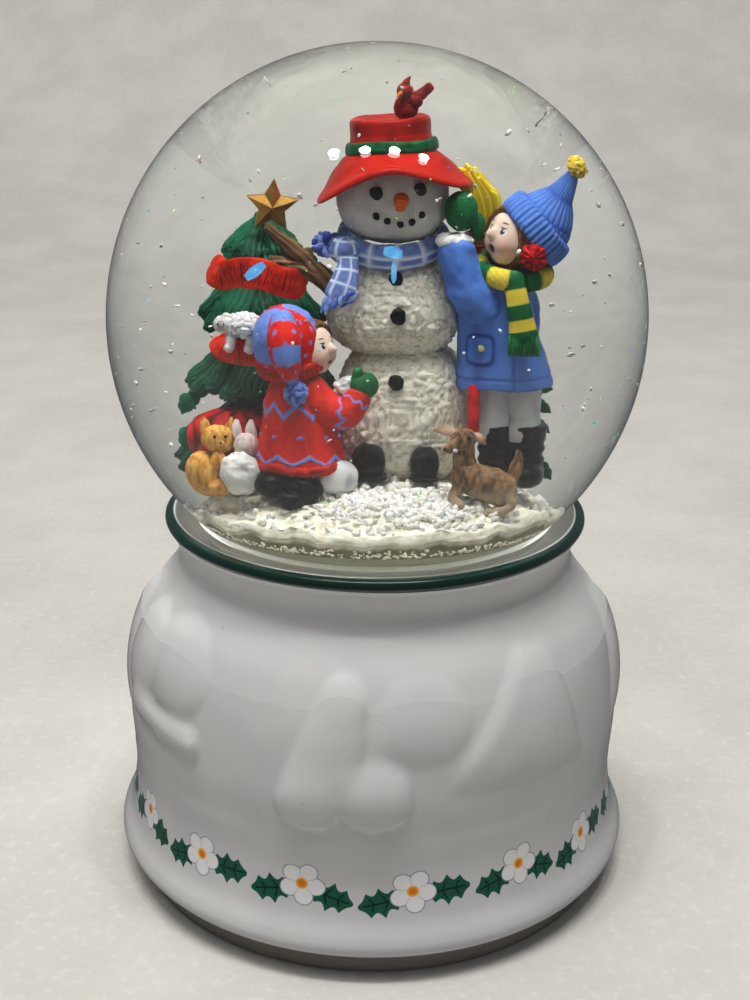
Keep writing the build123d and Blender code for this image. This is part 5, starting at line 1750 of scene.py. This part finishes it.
def toy_cat():
    """Ginger cat: round body, head with ears, a curled paw and a face of dots."""
    pale, deep = rgb(236, 182, 92), rgb(186, 118, 40)
    forms = [ball((-25.0, -9.9, 88.2), (3.1, 2.6, 3.6), 50, 60),
             ball((-22.9, -10.4, 93.7), (2.5, 2.0, 2.1), 50, 60),
             ball((-23.2, -11.6, 86.4), (1.9, 1.6, 1.5), 30, 40),
             ball((-22.9, -11.8, 90.6), (1.2, 1.3, 1.5), 30, 40),
             ball((-22.6, -12.1, 93.1), (0.95, 0.6, 0.7), 20, 26)]
    for x, lean in ((-24.5, -0.5), (-21.2, 0.4)):
        forms.append(stem([(x, -10.0, 94.8), (x + lean * 0.7, -10.0, 96.0), (x + lean, -10.0, 96.9)],
                          [1.0, 0.7, 0.15], 10, 18, 0.5, (0, 1, 0)))
    parts = [furry(form, 210 + n, pale, deep) for n, form in enumerate(forms)]
    dots = ((-23.6, 94.3, 0.26), (-21.9, 94.4, 0.26), (-22.6, 93.4, 0.24))
    return parts + [bead((x, -12.5, z), (r, 0.25, r), 10, 12) for x, z, r in dots]


def toy_rabbit():
    """Pale toy with a tufted back: body, head, two ears."""
    pale, deep = rgb(236, 236, 232), rgb(176, 178, 180)
    body = ball((-19.8, -13.2, 88.9), (3.2, 2.8, 3.3), 60, 80)
    radial = np.arctan2(body[..., 2] - 90.4, body[..., 0] + 19.8)
    tufts = 0.25 * np.sin(radial * 7 + body[..., 1]) * step(body[..., 2], 87, 91)
    body = push(body, 0.14 * tufts + 0.26 * layered(body, 1.3, 3, 220))
    # Painted shade: the body is grey between its tufts.
    parts = [skin(body, blend(deep, pale, step(tufts + 0.5 * layered(body, 1.2, 2, 223), -1.2, 0.2))),
             furry(ball((-18.8, -11.8, 93.1), (1.9, 1.7, 1.8), 40, 50), 221, rgb(238, 224, 220),
                   rgb(200, 176, 172))]
    for x in (-20.0, -17.9):
        parts.append(furry(stem([(x, -11.6, 94.2), (x - 0.2, -11.4, 95.6), (x - 0.1, -11.2, 96.6)],
                                [0.7, 0.75, 0.35], 12, 18, 0.5, (0, 1, 0)), 222, rgb(240, 226, 222),
                           rgb(204, 180, 178)))
    return parts


piece("fleecy_lamb", lamb(), SNOW_PAINT, "lamb")
piece("red_cloth", drape(), HAND_PAINT, "red_drape")
piece("ginger_cat", toy_cat(), HAND_PAINT, "toy_cat")
piece("pale_rabbit", toy_rabbit(), HAND_PAINT, "toy_rabbit")

# %% Fawn


def fawn():
    """A lying fawn that looks back: body, haunch, neck, head, ears, folded legs and an upright tail."""
    brown, dark, cream = rgb(146, 112, 76), rgb(78, 54, 34), rgb(206, 190, 160)

    def coat(rings, seed):
        rings, strands = feathered(rings, seed, 0.16)
        low = step(87.0 - rings[..., 2], -1.5, 2.0) * 0.55
        # Painted shade: the grooves between strands are dark brown; the cream belly is the fawn's own colour.
        return skin(rings, blend(blend(dark, brown, step(strands, -0.8, 0.8)), cream, low))

    body = stem([(12.6, -14.6, 89.8), (14.8, -14.8, 88.6), (17.6, -14.6, 87.6), (19.4, -14.3, 87.0)],
                [2.3, 2.5, 2.7, 2.3], 50, 60, up=(0, 0, 1))
    neck = stem([(13.2, -14.6, 90.0), (12.9, -14.9, 92.2), (12.8, -15.1, 94.2)], [2.0, 1.6, 1.4], 30, 40,
                up=(0, 1, 0))
    head = ball((12.7, -15.2, 94.9), (1.9, 1.9, 1.75), 50, 60)
    muzzle = stem([(12.0, -15.8, 94.6), (11.0, -16.8, 94.0), (10.4, -17.2, 93.7)], [1.25, 0.9, 0.6], 20, 30)
    haunch = ball((18.9, -15.3, 86.7), (2.3, 1.9, 2.3), 40, 50)
    leg = stem([(19.8, -15.9, 86.6), (20.4, -16.2, 84.6), (18.6, -16.6, 83.7), (16.8, -16.7, 83.8)],
               [1.1, 0.9, 0.75, 0.6], 30, 24)
    fore = stem([(12.6, -15.8, 88.2), (11.6, -16.6, 86.2), (12.8, -17.2, 85.0)], [1.1, 0.85, 0.6], 24, 24)
    tail = stem([(20.0, -13.6, 88.4), (20.7, -13.3, 90.6), (20.9, -13.1, 92.8)], [1.0, 0.95, 0.3], 20, 26,
                0.6, (0, 1, 0))
    forms = [body, neck, head, muzzle, haunch, leg, fore, tail]
    parts = [coat(form, 230 + n) for n, form in enumerate(forms)]
    for points in ([(11.8, -14.6, 95.6), (10.2, -14.3, 96.1), (8.4, -14.2, 96.1)],
                   [(13.9, -14.6, 95.4), (15.0, -14.3, 95.0), (16.0, -14.2, 94.0)]):
        ear = stem(points, [0.5, 0.72, 0.2], 20, 26, 0.45, (0, -1, 0.1))
        ear, strands = feathered(ear, 240, 0.06)
        inside = step(ear[..., 1].mean() - ear[..., 1], -0.1, 0.25)
        parts.append(skin(ear, blend(brown, rgb(214, 180, 160), inside)))
    eyes = [bead((x, y, 95.3), (0.28, 0.25, 0.32)) for x, y in ((11.4, -16.5), (13.6, -16.7))]
    return parts + [bead((10.3, -17.4, 93.8), (0.42, 0.35, 0.32), 12, 16)] + eyes


piece("resting_fawn", fawn(), HAND_PAINT, "fawn")

# %% [markdown]
# ## Snowy ground and loose flakes
# The ground is cast with the figures: a disc with a lumpy bank on it. On top lie the loose plastic
# flakes that swirl when the globe is shaken. Each flake is a chip of a few dozen faces; the same
# small shape is turned, sized and placed hundreds of times with one array product.

# %% Ground
MOUND_R = MOUND_NODE_HIGH[0]
MOUND_FOOT_Z = MOUND_NODE_LOW[2]


def bank_height(x, y):
    """The bank's height: a dome that falls from 88.3 to about 80.5 mm at the edge, with soft lumps."""
    r = np.hypot(x, y) / MOUND_R
    points = np.stack([x, y, 0 * x], -1)
    lumps = 0.9 * layered(points, 5.0, 2, 250) + 0.35 * layered(points, 1.6, 3, 252)
    return 88.0 - 7.2 * np.clip(r, 0, 1) ** 2.2 + lumps * (0.35 + 0.65 * r)


def ground():
    """Bank from the middle to the edge, a rounded lip, and the disc's side down to the stopper."""
    a = around(300)
    edge = 1 + 0.012 * np.sin(a * 7 + 1) + 0.008 * np.sin(a * 13)
    r = np.concatenate([np.linspace(0.3, MOUND_R - 0.9, 150),
                        MOUND_R - 0.9 + 0.7 * np.sin(np.linspace(0.1, 1, 10) * np.pi / 2),
                        np.full(16, MOUND_R - 0.45), np.linspace(MOUND_R - 0.5, 1, 12)])[:, None]
    r = r * np.where(r > MOUND_R - 1.0, np.minimum(edge, MOUND_R / (MOUND_R - 0.2)), 1)
    x, y = r * np.cos(a), r * np.sin(a)
    top = bank_height(x, y)
    drop = np.concatenate([np.zeros(150), 1.6 * (1 - np.cos(np.linspace(0.1, 1, 10) * np.pi / 2)),
                           np.zeros(28)])[:, None]
    side = np.linspace(0, 1, 16)[:, None]
    z = top - drop
    z[160:176] = z[159] + (MOUND_FOOT_Z - z[159]) * side
    z[176:] = MOUND_FOOT_Z
    rings = np.stack([x + 0 * a, y + 0 * a, z], -1)
    crumbs = layered(rings, 0.9, 3, 255)
    rings[:160] = push(rings, 0.22 * crumbs)[:160]
    snowy = step(rings[..., 2] - (z[159] - 0.7), -0.5, 0.6)
    # Painted shade: the snow is a little darker in the hollows between crumbs.
    colour = blend(rgb(122, 119, 96), blend(rgb(222, 214, 190), rgb(246, 242, 226),
                                            step(crumbs, -0.8, 0.3)), snowy)
    return skin(rings, colour)


piece("snowy_ground", ground(), SNOW_PAINT, "snow_mound")

# %% Flakes


def scatter(shape, places, sizes, seed, tints):
    """Many copies of one small closed form: points times a random turn, times a size, plus a place."""
    maker = np.random.default_rng(seed)
    turns = np.linalg.qr(maker.normal(size=(len(places), 3, 3)))[0]
    turns[np.linalg.det(turns) < 0, :, 0] *= -1
    base = skin(shape, (1, 1, 1))
    points = np.einsum("nij,pj->npi", turns, base["points"]) * sizes[:, None, None] + places[:, None]
    starts = (np.arange(len(places)) * len(base["points"]))[:, None, None]
    return {"points": points.reshape(-1, 3), "quads": (base["quads"][None] + starts).reshape(-1, 4),
            "tris": (base["tris"][None] + starts).reshape(-1, 3),
            "colour": np.repeat(tints, len(base["points"]), axis=0)}


def chip(seed, thick):
    """A broken flake: a small squared ball of twenty-four faces, flattened, with uneven corners."""
    rings = ball((0, 0, 0), (1, 0.8, thick), 4, 6, 0.8)
    return rings * (1 + 0.22 * noise(rings * 2.3, 1.0, seed))[..., None]


def whites(count, maker):
    """Slightly different whites, a few of them warm."""
    tone = maker.uniform(0.78, 1.0, (count, 1))
    return rgb(250, 249, 247) * tone * (1 - maker.uniform(0, 0.06, (count, 1)) * np.array([0, 0.5, 1.6]))


def lying_flakes(count, seed):
    """Flakes lying on the bank, thickest at the front of the middle."""
    maker = np.random.default_rng(seed)
    turn = maker.uniform(0, 2 * np.pi, count)
    r = MOUND_R * 0.96 * np.sqrt(maker.uniform(0, 1, count))
    near = maker.uniform(0, 1, count) < 0.66
    x = np.where(near, maker.normal(4, 8.0, count), r * np.cos(turn))
    y = np.where(near, maker.normal(-18.0, 3.4, count), r * np.sin(turn))
    keep = np.hypot(x, y) < MOUND_R * 0.955
    x, y = x[keep], y[keep]
    z = bank_height(x, y) + maker.uniform(0.0, 0.5, len(x))
    return np.stack([x, y, z], -1), maker


def ring_flakes(count, seed):
    """Flakes that have sunk into the gutter between the disc and the glass."""
    maker = np.random.default_rng(seed)
    turn = maker.uniform(0, 2 * np.pi, count)
    r = maker.uniform(MOUND_R + 0.5, 33.0, count)
    z = 76.3 + maker.uniform(0, 1.7, count) * (1 - (r - MOUND_R) / 8)
    return np.stack([r * np.cos(turn), r * np.sin(turn), z], -1), maker


def drifting(count, seed, reach=46.0):
    """Flakes still floating: places spread through the ball, clear of the figures' core."""
    maker = np.random.default_rng(seed)
    d = maker.normal(size=(count, 3))
    d /= np.linalg.norm(d, axis=1, keepdims=True)
    r = reach * maker.uniform(0.55, 1, (count, 1)) ** 0.5
    places = d * r + (0, 0, BALL_Z)
    clear_of_group = (np.hypot(places[:, 0], places[:, 1]) > 25) | (places[:, 2] > 146) | (places[:,
                                                                                                  1] < -17)
    return places[clear_of_group & (places[:, 2] > 84)], maker


CLOUDS = [("lying_flakes", lying_flakes(820, 301), (3, 0.42), (0.42, 1.15), 311, (1, 1, 1), None),
          ("sunk_flakes", ring_flakes(900, 302), (4, 0.4), (0.22, 0.5), 312, (0.9, 0.88, 0.76),
           "settled_snow"),
          ("drifting_flakes", drifting(260, 303), (5, 0.25), (0.2, 0.6), 313, (1, 1, 1), None)]
for name, (places, maker), shape, sizes, seed, tone, node in CLOUDS:
    sizes = maker.uniform(*sizes, len(places))
    flakes = scatter(chip(*shape), places, sizes, seed, whites(len(places), maker) * tone)
    piece(name, flakes, SNOW_PAINT, node)

# %% Glitter


def glitter_finish():
    """Mirror-like film whose colour comes from the mesh, paler in patches, with a faint glow in its own
    colour: painted light, as the film is no lamp.
    """
    book = Book("glitter")
    laid = book.node("ShaderNodeAttribute", {"attribute_name": "paint"})
    colour = book.mix(book.grain(500).soft(0.45, 0.7), laid, col(rgb(150, 230, 255)))
    return book.set(Base_Color=colour, Metallic=0.5, Roughness=0.14 + book.grain(900) * 0.1,
                    Emission_Color=colour,
                    Emission_Strength=0.3)


GLITTER_TINTS = np.array([rgb(120, 120, 255), rgb(90, 230, 190), rgb(240, 130, 230), rgb(120, 210, 255),
                          rgb(190, 255, 120)])
spread_places, glitter_maker = lying_flakes(260, 304)
float_places = drifting(170, 305, 44.0)[0]
glitter_places = np.concatenate([spread_places + (0, 0, 0.35), float_places])
tints = GLITTER_TINTS[glitter_maker.integers(0, 5, len(glitter_places))]
glitter_sizes = glitter_maker.uniform(0.14, 0.26, len(glitter_places))
GLITTER = glitter_finish()
piece("glitter_specks", scatter(chip(6, 0.12), glitter_places, glitter_sizes, 314, tints), GLITTER, None)
SCRAPS = [((2.1, -16.0, 122.4), 1.5, 0.9, 10), ((2.3, -15.5, 119.4), 0.45, 1.6, 0),
          ((-17.6, -11.0, 118.4), 1.9, 0.8, -38)]
scraps = [spin(ball(place, (wide, 0.1, tall), 4, 7, 0.7), (0, 1, 0), turn, place) for place, wide, tall,
          turn in SCRAPS]
piece("film_scraps", [skin(rings, rgb(90, 180, 255)) for rings in scraps], GLITTER, None,
      smooth=False)

# %% [markdown]
# ## Camera, floor and light
# The camera looks slightly down from a hand's reach away. The light is soft and comes from above, as
# from a ceiling, and four small round lamps in a row give the glass and the glaze their bright dots.
# The floor is a wide plain sheet with a barely visible mottle, turned up softly far behind, so there is
# no horizon line and the clear ball has something pale to show. The sheet and the soft lamps are kept
# out of mirror reflections, as a polarising filter would, so the glass shows the figures without haze.

# %% Camera
CAMERA_PLACE = (-0.00003, -0.25172, 0.16067)
CAMERA_PITCH = 0.3329
CAMERA_ROLL = 0.0111
camera_data = bpy.data.cameras.new("camera")
camera_data.lens = 48.86
camera_data.sensor_width = 36.0
camera = bpy.data.objects.new("camera", camera_data)
bpy.context.scene.collection.objects.link(camera)
camera.location = CAMERA_PLACE
forward = np.array([0, math.cos(CAMERA_PITCH), -math.sin(CAMERA_PITCH)])
lifted = np.array([0, math.sin(CAMERA_PITCH), math.cos(CAMERA_PITCH)])
right = math.cos(CAMERA_ROLL) * np.array([1.0, 0, 0]) + math.sin(CAMERA_ROLL) * lifted
above = np.cross(right, forward)
camera.rotation_mode = "QUATERNION"
camera.rotation_quaternion = Matrix(np.stack([right, above, -forward], 1).tolist()).to_quaternion()
camera_data.clip_start = 0.01
bpy.context.scene.camera = camera
print("camera", [round(v, 3) for v in camera.location])

# %% Floor


def floor_finish():
    """Pale stone-like sheet: two greys in a soft noise, with fine warm specks."""
    book = Book("pale_floor")
    cloud = book.grain(16, 6, 0.65)
    speck = book.grain(420, 3)
    colour = book.mix(cloud.soft(0.3, 0.7), col(rgb(190, 188, 183)), col(rgb(202, 200, 195)))
    colour = book.mix(speck.soft(0.5, 0.75) * 0.35, colour, col(rgb(226, 222, 214)))
    book.bump(speck, 0.0002)
    return book.set(Base_Color=colour, Roughness=0.55 + cloud * 0.2)


def studio_sheet():
    """A flat run, a quarter circle and an upright run, swept sideways."""
    t = np.linspace(0, np.pi / 2, 24)
    y = np.concatenate([[-4.0, -1.0, 0.3], 0.7 + 0.6 * np.sin(t), [1.3]])
    z = np.concatenate([[0, 0, 0], 0.6 - 0.6 * np.cos(t), [4.0]])
    places = [(x, float(a), float(b)) for a, b in zip(y, z) for x in (-5.0, 5.0)]
    return places, [(2 * n, 2 * n + 1, 2 * n + 3, 2 * n + 2) for n in range(len(y) - 1)]


floor_mesh = bpy.data.meshes.new("floor")
places, faces = studio_sheet()
floor_mesh.from_pydata(places, [], faces)
floor_mesh.shade_smooth()
floor_mesh.materials.append(floor_finish())
floor = bpy.data.objects.new("floor", floor_mesh)
bpy.context.scene.collection.objects.link(floor)
floor.visible_glossy = False

# %% Lamps


def lamp(name, place, towards, size, watts):
    """An area lamp at a place, facing a point."""
    data = bpy.data.lights.new(name, "AREA")
    data.shape, data.size, data.energy, data.color = "DISK", size, watts, (1.0, 0.98, 0.95)
    made = bpy.data.objects.new(name, data)
    bpy.context.scene.collection.objects.link(made)
    made.location = place
    made.rotation_mode = "QUATERNION"
    made.rotation_quaternion = (Vector(towards) - Vector(place)).to_track_quat("-Z", "Y")
    return made


OBJECT_MIDDLE = (0.0, 0.0, 0.08)
CEILING_LAMPS = [(-0.36, -0.20), (-0.11, -0.22), (0.12, -0.22), (0.36, -0.25)]
for n, (x, y) in enumerate(CEILING_LAMPS):
    lamp(f"ceiling_lamp_{n}", (x, y, 1.5), OBJECT_MIDDLE, 0.085, 2.6)
soft_top = lamp("soft_top", (-0.35, -0.2, 1.7), OBJECT_MIDDLE, 1.4, 14.0)
soft_front = lamp("soft_front", (-0.9, -2.2, 1.3), OBJECT_MIDDLE, 2.0, 1.0)
wall_light = lamp("wall_light", (0.0, -0.2, 2.6), (0.0, 1.3, 0.9), 1.6, 21.0)
for soft in (soft_top, soft_front, wall_light):
    soft.visible_glossy = soft.visible_transmission = False
world = bpy.data.worlds.new("studio")
world.use_nodes = True
world.node_tree.nodes["Background"].inputs["Color"].default_value = (0.80, 0.83, 0.87, 1)
world.node_tree.nodes["Background"].inputs["Strength"].default_value = 0.13
bpy.context.scene.world = world
bpy.context.scene.view_settings.view_transform = "Standard"
